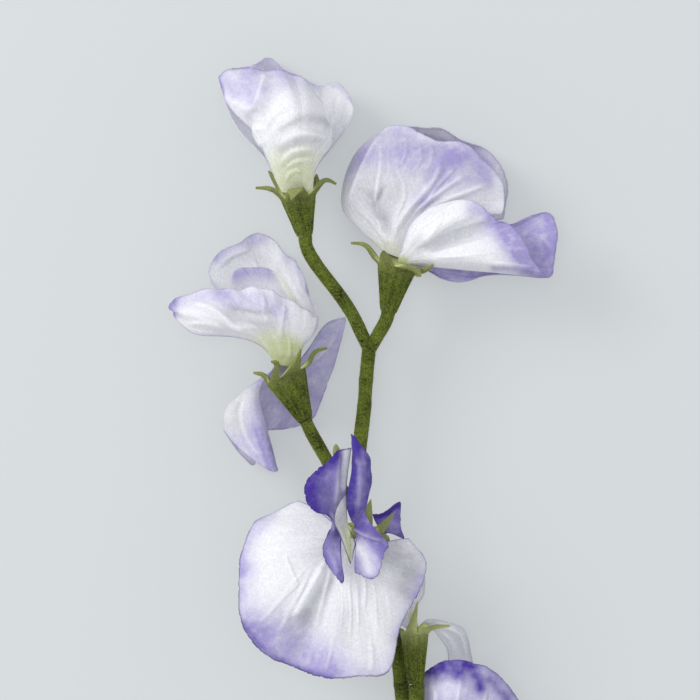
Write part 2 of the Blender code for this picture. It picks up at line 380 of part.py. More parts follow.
def calyx_point(base, base_radius, rim, rim_radii, teeth, turn, level, spread, lift, inside):
    """Points of a calyx: turn 0..1 runs round it and level 0..1 from its base to its rim. spread is
    the share of the radius, lift the share of a tooth's length, and inside is 0 on the wall's outer
    face and 1 on its inner one."""
    base, rim = np.array(base, float), np.array(rim, float)
    axis = unit(rim - base)
    right = unit(np.cross(axis, (0, 0, 1)))
    up = np.cross(right, axis)
    starts = np.radians([angle for angle, _ in teeth])
    order = np.append(starts, starts[0] + 2 * math.pi)
    # A tooth's angle is where its tip column stands, and columns between two teeth share the gap.
    place = turn * CALYX_TEETH
    near = np.floor(place + 0.5).astype(int)
    aside = np.abs(place - near)
    angle = np.interp(place, np.arange(CALYX_TEETH + 1), order)

    def ring(at, inset):
        radii = base_radius + (np.array(rim_radii) - base_radius) * level[:, None] - inset[:, None]
        radii = radii * spread[:, None]
        return (base + (rim - base) * level[:, None] + (np.cos(at) * radii[:, 0])[:, None] * right
                + (np.sin(at) * radii[:, 1])[:, None] * up)

    wall = ring(angle, inside * CALYX_WALL)
    outer_wall, tooth_foot = ring(angle, 0 * inside), ring(order[near], 0 * inside)
    height = lift * np.maximum(1 - 2 * aside, TOOTH_GAP)
    reach = np.zeros_like(wall)
    for index in range(CALYX_TEETH):
        mine = (near % CALYX_TEETH == index) & (lift > 0)
        path = np.concatenate([tooth_foot[mine][:1], np.array(teeth[index][1], float)])
        before, here, after = (spline_weights(len(path), height[mine] + step) @ path
                               for step in (-TOOTH_STEP, 0, TOOTH_STEP))
        round_rim = math.cos(starts[index]) * up - math.sin(starts[index]) * right
        inward = unit(np.cross(round_rim, after - before))
        inset = inside[mine] * CALYX_WALL * (1 - TOOTH_THINNING * height[mine])
        reach[mine] = here + inward * inset[:, None]
    narrowed = (outer_wall - tooth_foot) * (1 - TOOTH_TAPER * height)[:, None]
    return np.where((lift > 0)[:, None], reach + narrowed, wall)


def grid_object(name, columns, rows, point):
    """A grid whose vertices move to point(u, v), where u and v are each vertex's place in 0..1."""
    mesh = bpy.data.meshes.new(name)
    bm = bmesh.new()
    bmesh.ops.create_grid(bm, x_segments=columns, y_segments=rows, size=0.5)
    flat = np.array([vertex.co for vertex in bm.verts])
    moved = point(flat[:, 0] + 0.5, flat[:, 1] + 0.5)
    for vertex, place in zip(bm.verts, moved):
        vertex.co = place
    bmesh.ops.remove_doubles(bm, verts=bm.verts, dist=MERGE_DISTANCE)
    bm.to_mesh(mesh)
    bm.free()
    return bpy.data.objects.new(name, mesh)


def thicken(piece, thickness, offset):
    """Turns an open sheet into a closed solid."""
    solid = piece.modifiers.new("thickness", "SOLIDIFY")
    solid.thickness = thickness * MM
    solid.offset = offset


def add_petal(name, columns, rows, foot, rays):
    """A petal; where it would dip below the surface it lies on, it rests flat."""
    lowest = PETAL_THICKNESS / 2 * MM

    def point(u, v):
        places = placed(petal_point(foot, rays, u, v))
        places[:, 2] = np.maximum(places[:, 2], lowest)
        return places

    piece = grid_object(name, columns, rows, point)
    thicken(piece, PETAL_THICKNESS, 0)
    return piece


def add_calyx(name, *shape):
    """A cup with a closed base and five teeth: its outer face, and back down its inner one."""
    profile = np.array(CALYX_PROFILE, float)

    def point(u, v):
        steps = profile[np.rint(v * (len(profile) - 1)).astype(int)]
        return placed(calyx_point(*shape, 1 - u, *steps.T))

    piece = grid_object(name, CALYX_SIDES, len(profile) - 1, point)
    split = piece.modifiers.new("split", "TRIANGULATE")
    split.quad_method = "SHORTEST_DIAGONAL"
    return piece


def add_stem(name, radius, route):
    """A round stem along a smooth curve through its route, with a flat cut at each end."""
    route = np.array(route, float)
    length = np.linalg.norm(np.diff(route, axis=0), axis=1).sum()
    count = max(3, int(length / (STEM_STEP * radius)) + 1)
    points = placed(spline_weights(len(route), np.linspace(0, 1, count)) @ route)
    curve = bpy.data.curves.new(name, "CURVE")
    curve.dimensions = "3D"
    curve.bevel_depth = radius * MM
    curve.bevel_resolution = 2
    curve.use_fill_caps = True
    spline = curve.splines.new("POLY")
    spline.points.add(count - 1)
    for point, place in zip(spline.points, points):
        point.co = (*place, 1)
    return bpy.data.objects.new(name, curve)


def dress(piece, colour, roughness, collection):
    """Gives a piece its own material and puts it in the object's collection."""
    material = bpy.data.materials.new(piece.name)
    material.use_nodes = True
    shader = material.node_tree.nodes["Principled BSDF"]
    shader.inputs["Base Color"].default_value = colour
    shader.inputs["Roughness"].default_value = roughness
    shader.inputs["Metallic"].default_value = 0
    piece.data.materials.append(material)
    collection.objects.link(piece)


def main():
    for old in list(bpy.data.objects):
        bpy.data.objects.remove(old)
    collection = bpy.data.collections.new(OBJECT_NAME)
    bpy.context.scene.collection.children.link(collection)
    for name, (colour, radius, route) in STEMS.items():
        dress(add_stem(name, radius, route), colour, FLOCK_ROUGHNESS, collection)
    for name, shape in CALYXES.items():
        dress(add_calyx(name, *shape), CALYX_GREEN, FLOCK_ROUGHNESS, collection)
    for name, (colour, columns, rows, foot, rays) in PETALS.items():
        petal = add_petal(name, columns - 1, rows - 1, foot, rays)
        dress(petal, colour, CLOTH_ROUGHNESS, collection)


main()
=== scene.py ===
"""A picked sweet pea spray laid on a pale floor: six fabric blossoms on a flocked green stem.

Run as a script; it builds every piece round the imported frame. Points are in millimetres in the
spray's own frame: x to the right, y along the stem towards its top, z up, main stem's top at z = 0.
"""

import math

import bpy
import numpy as np
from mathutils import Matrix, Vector


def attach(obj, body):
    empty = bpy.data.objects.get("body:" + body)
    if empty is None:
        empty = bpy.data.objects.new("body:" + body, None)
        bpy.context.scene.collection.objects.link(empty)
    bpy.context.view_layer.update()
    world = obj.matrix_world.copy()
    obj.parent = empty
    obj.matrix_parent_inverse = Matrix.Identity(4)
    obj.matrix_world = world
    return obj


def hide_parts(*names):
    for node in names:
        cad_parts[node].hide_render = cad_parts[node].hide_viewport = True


bl_info = {
    "name": "Sweet pea spray",
    "version": (1, 0, 0),
    "blender": (4, 5, 0),
    "location": "3D View > Sidebar > Sweet pea",
    "description": "Builds the petals, calyxes and stems of a picked sweet pea spray",
    "category": "Add Mesh",
}

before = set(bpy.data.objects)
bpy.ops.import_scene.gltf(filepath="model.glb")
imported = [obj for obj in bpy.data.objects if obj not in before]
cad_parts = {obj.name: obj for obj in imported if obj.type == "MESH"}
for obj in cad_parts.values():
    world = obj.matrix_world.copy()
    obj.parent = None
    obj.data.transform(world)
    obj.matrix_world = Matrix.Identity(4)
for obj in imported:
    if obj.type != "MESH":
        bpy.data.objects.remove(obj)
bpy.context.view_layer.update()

MM = 0.001
EYE_HEIGHT = 875.0             # outlines are drawn as they look from this height above the main stem
REST_DEPTH = 18.0              # the floor is this far below the main stem's axis
SPRAY_MIDDLE = (3.47, -58.78)  # the point over which the spray's box is centred
VIEW_WIDTH = 175.0             # how much the camera takes in, at the main stem's height
SMOOTH_ANGLE = 50              # degrees: edges sharper than this stay sharp
CUT_LINE = 0.22                # mm: a crease this high gets the full painted highlight along its ridge
FULL_CREASE = 0.6              # mm: the widest that the painted highlight along a ridge gets
RIDGE_WIDTH = 0.5              # mm: the widest that a worn ridge gets
WIDEST_FAN = 5.5               # radians: the widest angle of a petal's flat cutting pattern
SLIT_RADIUS = 0.13             # mm: radius of the thin dark tube laid along a keel's slit
FLOOR_HALF = 2.0               # metres
KEY_PLACE = (-0.8, 0.5, 0.8)     # metres from the spray's middle to the large soft light
FILL_PLACE = (-0.05, 0.05, 1.3)  # and to the light overhead

PLEATS = (30, 67)              # pleats across a petal, coarse and fine
CALYX_TEETH = 5
CALYX_COLUMNS = 150
CALYX_STEPS = (6, 24, 28)      # grid rows on a calyx's base, wall and teeth
CALYX_FLARE = 1.15             # the power of its height with which a calyx widens
CALYX_RIB = 0.2                # mm: height of the ribs down a calyx
CALYX_WALL = 0.6               # mm: thickness of a calyx's wall,
TOOTH_SWELL, TIP_THIN = 0.5, 0.45  # what its teeth have more than the wall, and their tips less
STEM_SIDES = 28
STEM_STEP = 0.45               # mm from ring to ring along a stem
STEM_RIB = 0.02                # height of the ribs down a stem, a share of its radius
STEM_BUMPS = (0.035, 3.1)      # a stem's unevenness: share of its radius, and mm from bump to bump
COLLAR = (0.12, 1.2)           # a stalk's swelling under its calyx: share of its radius, reach in mm
FLOCK_LEAN = 0.55              # how far fibres lean from upright, at random
FLOCK_LENGTHS = (0.5, 1.25)    # shortest and longest fibre, shares of the usual length
FLOCK_ROOT = 0.15              # how deep a fibre's foot sits, a share of its length

# name: the foot's points, then the rays from one edge to the other, each from foot to cut edge.
PETALS = {
    # First blossom, upper left, half open.
    "standard_1": ([(-16.6, 40, -2.6), (-11.4, 40, -2.8)], [
        [(-20, 50, -6), (-25, 60, -9), (-29.5, 70.4, -7)],
        [(-18.5, 51, -9), (-21.5, 62, -15), (-24.5, 71.3, -12)],
        [(-16, 51, -11), (-18, 62, -18.5), (-20.5, 72.9, -14)],
        [(-13, 51, -12), (-13, 61, -19.5), (-14.5, 69.5, -14)],
        [(-10.5, 50, -11), (-8.8, 59, -18), (-8, 66.3, -13)],
        [(-8.5, 49, -8.5), (-4.5, 57, -12.5), (-3, 66.6, -10)],
        [(-7.5, 48, -6), (-2.5, 54.5, -8), (0.5, 61.5, -7)],
        [(-7.8, 46.5, -4.5), (-4.5, 50.5, -6), (-0.8, 55.5, -5)]]),
    "wing_left_1": ([(-16.4, 40.2, -1.2), (-15.2, 40.2, -1.4)], [
        [(-22, 48.8, -1), (-28.5, 56, -1.5), (-33, 67.5, 0)],
        [(-20.5, 49, -3.5), (-25, 58, -6), (-29, 68, -5)],
        [(-19, 49, -4.5), (-22, 58, -7.5), (-24, 68.5, -7)],
        [(-17, 49, -4.5), (-18.5, 57.5, -8), (-19, 68, -8)]]),
    "wing_right_1": ([(-16.9, 39.4, 1.6), (-9.4, 39.4, 1.8)], [
        [(-20.2, 46.2, 3), (-24, 54, 4.5), (-29.2, 60, 4.5), (-33, 68.3, 2.5)],
        [(-18.6, 47.5, 6), (-21, 55.5, 8), (-25.6, 62.5, 7.5), (-30.2, 70.1, 3.5)],
        [(-16.8, 48, 8), (-18.2, 56.5, 10.5), (-21, 64, 9), (-25, 70.3, 3)],
        [(-14.5, 48, 9), (-15, 57, 12.5), (-16.5, 65, 9.5), (-19.5, 70, 3)],
        [(-12.5, 48, 9), (-12, 56.5, 12), (-12.3, 63, 9), (-14, 68.8, 3)],
        [(-11, 47.5, 8), (-9, 55, 9.5), (-8.7, 61, 6.5), (-9.8, 65.8, 2)],
        [(-9.6, 46, 6), (-7, 51.5, 5.5), (-5.6, 55.5, 3.5), (-6.2, 59.2, 0.5)],
        [(-8.8, 44.5, 3.6), (-7, 48.2, 3), (-5.3, 51, 1.6), (-4.6, 54, 0.4)]]),
    "keel_1": ([(-14.4, 40.5, 0.1), (-12.6, 40.5, 0.1)], [
        [(-15.5, 47, 0), (-17, 54, -0.5), (-17.5, 60, -0.5)],
        [(-14, 48, -2), (-14.5, 55, -3), (-15.5, 62, -2.5)],
        [(-12.5, 47, 0.5), (-11.2, 53, 0.5), (-12.5, 59, -0.5)]]),
    # Second blossom, upper right, its wings held out to the right.
    "standard_2": ([(12.6, 23, -1.4), (8.6, 24.5, -2.6), (12.2, 23.4, -3.6)], [
        [(16, 28, 0.5), (23, 31.5, 2), (31, 33.5, 2), (37.8, 34, 0)],
        [(15.5, 30, 1), (22.5, 36, 3.5), (31, 39.5, 3.5), (38.6, 40, 0)],
        [(14, 31.5, 1), (19.5, 39, 4), (27, 45, 4), (33.8, 47, 0.5)],
        [(12, 32, 0.5), (15.5, 41, 4), (20.5, 47.5, 4), (27.2, 51.9, 1)],
        [(9.5, 32, -0.5), (11, 41, 3), (14.5, 48.5, 3.5), (20.8, 52.4, 1)],
        [(6.5, 31.5, -2), (5.5, 41, 1), (8.5, 49, 1), (14, 55.9, -1.5)],
        [(0.6, 32, -5), (-2.1, 38, -6), (1, 48.8, -6), (8.5, 55, -5)],
        [(5, 32, -9), (3, 41, -14), (8, 50, -14), (16.5, 55.6, -8)],
        [(8, 32, -11), (10, 42, -18.5), (15, 50, -18), (22.7, 55.1, -10)],
        [(11, 32, -12), (16, 41, -19.5), (23, 48, -19), (30.3, 51.6, -12)],
        [(14, 31.5, -11.5), (21, 38, -19.5), (29, 43, -19), (37.2, 46.9, -11)],
        [(16, 30, -10), (24, 34, -16), (32, 37, -15.5), (39.5, 39.5, -8)],
        [(16, 28, -7.5), (24, 30, -11), (31, 31.5, -11), (38, 33, -6)]]),
    "wing_right_2": ([(12, 22, 2.2), (13.9, 21.5, 2.2)], [
        [(13.4, 27, 4), (15.3, 31.5, 5.5), (19.5, 35.3, 5.5)],
        [(15.5, 27.5, 6.5), (20, 32.5, 9), (26.5, 37.4, 8)],
        [(17, 27, 7), (23.5, 31.5, 10), (32.5, 36.3, 9)],
        [(18, 26, 6.5), (26.5, 29.8, 8), (36.8, 32.5, 8)],
        [(18.5, 25, 6.5), (28.5, 27.5, 9), (40.5, 31, 8)], [(18.5, 24, 6.5), (30, 25, 11), (44.5, 25, 9)],
        [(18.5, 22.9, 6), (31.5, 22.5, 11), (47, 20.8, 8)],
        [(18, 21.8, 4.5), (31, 20.8, 8), (48.8, 18.2, 6.5)],
        [(17.5, 21.2, 2.7), (29, 20.1, 4.5), (42, 19.3, 4.5)]]),
    "wing_left_2": ([(14.2, 21.6, -0.9), (13.2, 21.2, -1.6)], [
        [(21, 25.5, 0), (31, 28.5, 1.5), (44, 32.8, 2.5)], [(22, 24.5, -1), (34, 27, 0.5), (50, 34.1, 3)],
        [(22, 23.5, -1.5), (36, 25, 0), (51.9, 28, 2.5)], [(22, 22.3, -2), (36, 22.5, -1), (51, 22, 2)],
        [(21.5, 21.2, -2.5), (34, 20.5, -1.5), (49.3, 18, 2)],
        [(20.5, 20.2, -2.5), (30, 18.6, -1.5), (38, 19.2, 0.5)],
        [(19, 20, -3), (24, 18.2, -2), (29, 17.2, -0.6)],
        [(17.6, 20.6, -3), (19.8, 19.6, -2.4), (22.5, 18, -1.6)]]),
    "keel_2": ([(14.2, 21.9, 0.7), (14.4, 20.9, 0.5)], [
        [(19, 24.4, 2.5), (25, 26.5, 3.7), (33, 27.6, 4.4)],
        [(19.5, 23.2, 2), (26, 24.2, 2.7), (36, 25.3, 3.9)],
        [(19, 22, 2), (25, 22.2, 2.4), (33, 22.8, 3.4)]]),
    # Third blossom, middle left: the standard hangs down behind the calyx.
    "standard_3": ([(-13.6, -3.8, -1.8), (-16, -3.4, -2.8), (-18.4, -3.6, -1.8)], [
        [(-9.5, 1.5, -6), (-6, 6.5, -7.5), (-1, 8.3, -7)], [(-9, 0, -8), (-6, 1, -10), (-2.1, 2.5, -9)],
        [(-10, -4, -9.5), (-8.5, -6.5, -12), (-5.8, -9, -11)],
        [(-12, -6.6, -11), (-11, -12, -15), (-9.3, -17, -13)],
        [(-15, -8.6, -12), (-15.5, -14, -17.5), (-15.8, -19.6, -16)],
        [(-19.2, -8.2, -12), (-21, -15, -18.5), (-22.5, -22, -18.5)],
        [(-22, -9, -9), (-24.5, -16, -14), (-24.6, -28.7, -14)],
        [(-25.6, -9.6, -5.5), (-30.6, -14.5, -7), (-31.2, -20.5, -9)],
        [(-24.5, -9.8, -3.8), (-28, -16, -3.5), (-26.8, -25.3, -5)],
        [(-23.4, -10, -3.6), (-23.8, -17, -2.5), (-19.2, -30.5, -5)],
        [(-22.6, -10, -3.8), (-21.5, -17, -3.5), (-18.5, -27.5, -6)]]),
    "wing_right_3": ([(-18.6, -3.6, 1.8), (-15.6, -3.8, 2.7), (-12.6, -4.2, 1.9)], [
        [(-22.3, 1, 4), (-30, 3.4, 7), (-38.5, 4, 7), (-43.4, 8.2, 4)],
        [(-21.5, 2, 6.5), (-29.5, 6, 11), (-38, 7.8, 11), (-44.9, 10.6, 6)],
        [(-20.5, 3, 8), (-27.5, 8, 12), (-35.6, 11, 12), (-43.2, 13.1, 8)],
        [(-19.5, 3.5, 9), (-25, 8.5, 13.5), (-31, 13, 13), (-35, 15.4, 10)],
        [(-18, 3.5, 9.5), (-22, 8.5, 14), (-26, 13, 13.5), (-28, 15.2, 11)],
        [(-16.5, 3.5, 9.5), (-19, 8.5, 13.5), (-21.5, 13, 13), (-22.3, 15.6, 11)],
        [(-15, 3, 8.5), (-15.5, 7, 12), (-16.5, 10.5, 12), (-16.8, 13.4, 10)],
        [(-13.2, 2, 7), (-12, 5, 8.5), (-11.5, 8, 9), (-11.5, 10.3, 8)],
        [(-11.8, 0.8, 4.5), (-10, 3, 4.5), (-8.7, 5.5, 4.5), (-8.2, 8, 4)]]),
    "wing_left_3": ([(-17, -4, -0.6), (-13.2, -4.2, -0.8)], [
        [(-20, 3, -2), (-28, 10, -3), (-35, 16.5, -2)],
        [(-19.5, 6, -5), (-26.5, 15, -8), (-34.3, 22.5, -5)],
        [(-18, 7, -7), (-22.5, 18, -11), (-27.5, 27.2, -7)],
        [(-16, 7, -8), (-18.5, 18, -12), (-21.3, 29, -7.5)],
        [(-14, 6.5, -7.5), (-14.5, 16, -11), (-16, 24, -7)],
        [(-12.5, 5, -6), (-11.5, 13, -8), (-12.7, 20.5, -5)],
        [(-11.5, 3.5, -4), (-9, 9, -4.5), (-10.5, 14.5, -2.5)],
        [(-11.5, 1.5, -1.5), (-8.5, 5, -1), (-7.8, 8.3, -0.5)]]),
    "keel_3": ([(-15.8, -3.9, 0.8), (-13.8, -4, 0.8)], [
        [(-20, 4, 3), (-25, 11, 5), (-29.8, 16.5, 6)], [(-19, 6, 1.5), (-24, 14, 2), (-28.5, 20, 4)],
        [(-17.5, 6.5, 1), (-20.5, 14.5, 1), (-23, 20.7, 3)], [(-16, 6, 1), (-17, 13, 1), (-18, 19, 2.5)],
        [(-14.5, 4.5, 2), (-14, 9, 3), (-13.5, 12.5, 4.5)]]),
    # Fourth blossom, lowest and in front, open towards the eye.
    "standard_4": ([(-1.7, -45.3, 11), (0.9, -47.2, 11.6), (3.4, -46.2, 11)], [
        [(-5, -42.5, 9), (-9, -39.5, 8), (-13, -37.8, 7)],
        [(-7.5, -44, 10.5), (-15, -42.5, 11), (-21.5, -41.8, 9)],
        [(-8.5, -47, 12), (-17.5, -47.5, 13.5), (-26.3, -47.5, 10)],
        [(-8.5, -50.5, 13), (-18, -54.5, 15), (-27.8, -57.5, 12)],
        [(-8, -53.5, 13.5), (-16.5, -60.5, 15.5), (-27.4, -67.5, 14)],
        [(-6.5, -56, 13), (-13, -66, 13), (-22, -75.5, 12)],
        [(-4, -57.5, 12), (-7.5, -68, 10.5), (-13.5, -79.6, 10)],
        [(-1.5, -58.5, 13), (-3, -69.5, 13), (-5, -82.2, 12)],
        [(1, -58.5, 13), (1.5, -69.5, 13.5), (3, -81.6, 12)],
        [(3.5, -57.5, 12.5), (6.5, -68, 12.5), (9.8, -80, 11)],
        [(5.5, -55.5, 11.5), (9, -62.5, 11.5), (12.8, -69, 9.5)],
        [(7, -53, 10), (12.3, -57, 9.5), (18.1, -58.5, 7.5)],
        [(7.2, -50.6, 9.4), (12.4, -51.6, 8.4), (18.3, -51.6, 6.6)],
        [(6.5, -48.4, 9), (10.5, -47.6, 8), (14.6, -47.2, 6.4)]]),
    "wing_left_4": ([(-1.1, -42.3, 14), (-1.9, -43.5, 13.6), (-1.9, -45, 13.5)], [
        [(-1, -36, 16), (-0.6, -30.5, 18), (0.3, -24.4, 19)],
        [(-2.5, -36, 17), (-3, -31, 20), (-3, -25.3, 21)],
        [(-4.2, -36.5, 17.5), (-5.3, -32.5, 21), (-7, -28.9, 22.5)],
        [(-5, -37.5, 17.5), (-7.6, -35, 21), (-10.7, -32.3, 22.5)],
        [(-5, -39, 17), (-8, -37.5, 20), (-11.3, -36.3, 21)],
        [(-4.4, -40.5, 16), (-6.6, -40, 18), (-9, -40.2, 19)],
        [(-3.8, -42, 15), (-4.8, -42, 16), (-5.2, -41.6, 17)],
        [(-3.2, -44, 14.5), (-3.9, -45, 15.5), (-5.3, -45.3, 16.5)],
        [(-3.4, -46.5, 14.6), (-5, -48.5, 16), (-6.9, -50.3, 17)],
        [(-3.2, -48, 14.8), (-4.3, -51.2, 16.5), (-5.3, -54.2, 17.5)],
        [(-2.8, -48.5, 15.2), (-3, -53, 17), (-2.2, -58.2, 18.5)],
        [(-2.3, -48, 15.4), (-2.2, -52, 17), (-1.6, -56.3, 18)]]),
    "wing_right_4": ([(0.3, -42.5, 14), (1.4, -44, 13.6), (1.8, -45.3, 13.5)], [
        [(-0.8, -37.5, 19), (0.6, -29.5, 22), (0.5, -23.3, 21)],
        [(0.8, -37, 20), (1.8, -30, 23), (0.6, -21, 21.5)],
        [(2.2, -37, 20), (3.2, -31, 23), (3.8, -25.3, 21)],
        [(3.4, -37.5, 19), (4.4, -32.5, 21), (5.2, -29.3, 19.5)],
        [(3.6, -39.5, 17.5), (4.4, -37, 18.5), (4.8, -35, 18)],
        [(3.2, -42, 16), (3.8, -42, 16.5), (4.1, -41.3, 16.5)],
        [(3.8, -44.4, 16), (6, -46, 17), (9, -47.6, 17)],
        [(3.8, -45.6, 16), (6, -47.6, 17), (9.1, -50, 17.2)],
        [(3, -47, 15.5), (5.4, -51, 16.8), (7.9, -53.9, 17)],
        [(2.6, -47.5, 15.2), (4.4, -52, 16.5), (6.4, -57, 17)],
        [(2, -48, 15), (2.8, -52.5, 16.3), (3.6, -56.8, 16.5)],
        [(1.5, -48, 14.8), (1.2, -51.5, 15.8), (1.2, -55.5, 16)]]),
    "keel_4": ([(-0.5, -43.6, 14.7), (0.3, -44.6, 14.6)], [
        [(-0.8, -41, 15.6), (-0.9, -38.5, 17), (-1.1, -35.8, 18)],
        [(-1.6, -41.5, 16), (-2.2, -39.5, 17.8), (-2.6, -38, 18.6)],
        [(-2.2, -42.3, 16.2), (-3.1, -41.5, 17.8), (-3.8, -40.8, 18.6)],
        [(-2, -43.3, 15.9), (-3, -43.5, 17.2), (-3.8, -43.6, 18.2)],
        [(-1.4, -44.5, 15.4), (-2, -45.5, 16.6), (-2.6, -46, 17.4)],
        [(-0.5, -46, 15.2), (-0.5, -49, 15.9), (-0.6, -51.5, 16.5)],
        [(0.1, -46.3, 15), (0.1, -50, 15.3), (0.2, -53.5, 15.5)]]),
    "rear_petal_4": ([(7.4, -44.6, 5.6), (8.4, -46.4, 5.2)], [
        [(6.6, -43.4, 5.4), (5.9, -42, 5.6), (5.6, -40.9, 5.8)],
        [(7.8, -43.2, 5.2), (7.9, -41.8, 5.2), (8.4, -40.5, 5.6)],
        [(9, -43, 4.8), (10.6, -40.6, 4.6), (12.4, -38.1, 5.4)],
        [(9.8, -44, 4.6), (11.4, -42.8, 4.2), (12.6, -41.8, 4.4)],
        [(9.6, -45.8, 4.8), (11.5, -46.4, 4.2), (13.7, -47.4, 4)]]),
    # Fifth blossom, half hidden behind the fourth.
    "standard_5": ([(14, -69.6, 1.4), (17.2, -69.2, 1)], [
        [(11.5, -65, -0.5), (8.5, -58, -4.5), (4.5, -52, -7)],
        [(13, -63.5, -3), (11.5, -56, -8), (10, -50.5, -9)],
        [(14.8, -63.5, -4), (14.8, -57, -8.5), (15, -51.5, -9)],
        [(16.6, -64.6, -3.5), (18.4, -61.5, -6), (18.8, -57.5, -7.5)]]),
    "wing_right_5": ([(16.9, -69.8, 3.4), (18, -70, 2.4)], [
        [(19.8, -67.3, 2), (25.4, -68.2, -1), (29.2, -71, -5), (30.8, -80, -12)],
        [(20.2, -68.2, 1.1), (25.4, -69.7, -2.5), (28.2, -73.6, -7.5), (31.4, -86, -16.5)],
        [(20.4, -68.9, 0.1), (24.5, -71.2, -3), (26.8, -76, -8.5), (28, -91, -18.5)],
        [(20.3, -69.6, -0.9), (22.8, -72.6, -2.8), (24.6, -77, -7.5), (23, -88, -15)]]),
    "wing_left_5": ([(14.6, -69.2, 4.4), (14.3, -69.6, 3.8)], [
        [(11.6, -65.8, 5.4), (7, -63.4, 7.2), (3, -62, 7.2)],
        [(11, -67.3, 5.6), (5.5, -67.5, 7.6), (0.5, -68, 7.4)],
        [(10.6, -68.8, 5.4), (6, -71.6, 7), (2, -73, 6.8)]]),
    "keel_5": ([(15.2, -70.6, 3.2), (16.4, -70.4, 3)], [
        [(14.6, -67, 4.5), (12.8, -62.5, 5), (11, -59.5, 4.6)],
        [(15, -66.5, 4.8), (14, -62, 5.4), (13, -58.5, 5.2)],
        [(15.6, -66.4, 4.2), (15.2, -62.5, 4.6), (14.6, -59.5, 4.4)]]),
    # Sixth blossom, low on the right of the stem.
    "standard_6": ([(22.6, -118.2, 1.4), (25.6, -118.4, 1.4)], [
        [(20, -109, 0.5), (17, -98, -1.6), (16.6, -84, -2.4)],
        [(20.8, -108, 2.2), (19.5, -95, 1.4), (18.9, -80.5, 0.2)],
        [(22.5, -107, 4.5), (23.5, -92, 8), (24.5, -77.5, 6)],
        [(25.2, -107, 5), (28.2, -92, 9), (30.5, -78.1, 6.5)],
        [(28, -107.5, 4.5), (33, -94, 8), (36.3, -80.6, 5.5)],
        [(29.8, -109, 3), (36.5, -98, 5.5), (42.3, -87.6, 3.5)],
        [(30.4, -111.5, 1.5), (37.5, -104, 2), (45, -96, 0)],
        [(29.5, -114, 0.5), (35.5, -109.5, -0.5), (41.5, -104, -2.5)]]),
    "wing_right_6": ([(25.2, -119.6, 3.2), (27, -119.8, 2.6)], [
        [(27.5, -112.5, 8), (30, -105.5, 12.5), (33, -99.5, 14.5)],
        [(29.5, -112.8, 8.5), (34.5, -107, 13), (40, -102.5, 13.5)],
        [(31, -114, 8.5), (36.5, -110.5, 12), (44, -108.5, 11.5)],
        [(31, -116, 7), (36.5, -115, 9.5), (43, -115, 8.5)],
        [(30, -118, 4.8), (34.5, -118.5, 6.5), (39, -119, 6)]]),
    "wing_left_6": ([(24.4, -119.6, -1.8), (26, -120, -1.4)], [
        [(26, -110, -6), (28, -103, -9), (30, -97, -10)],
        [(28.5, -111, -7), (34, -105, -12), (38, -100, -13)],
        [(30, -113, -7.5), (36.5, -110, -13.5), (43, -108, -14)],
        [(29.5, -115.5, -6.5), (35.5, -115, -11), (41, -117, -12)],
        [(28.5, -117.5, -4.5), (32.5, -119, -7.5), (36.5, -121, -8.5)]]),
    "keel_6": ([(26, -119.2, 0.2), (26.8, -119.9, 0.2)], [
        [(29, -115, 0.4), (33, -111.5, -2), (38, -109.5, -3)],
        [(29.5, -115.8, -0.4), (34, -113.5, -2.6), (40, -112, -3.5)],
        [(29.6, -117, 0.2), (34, -116, -0.6), (38.5, -115.5, -1.2)]]),
}

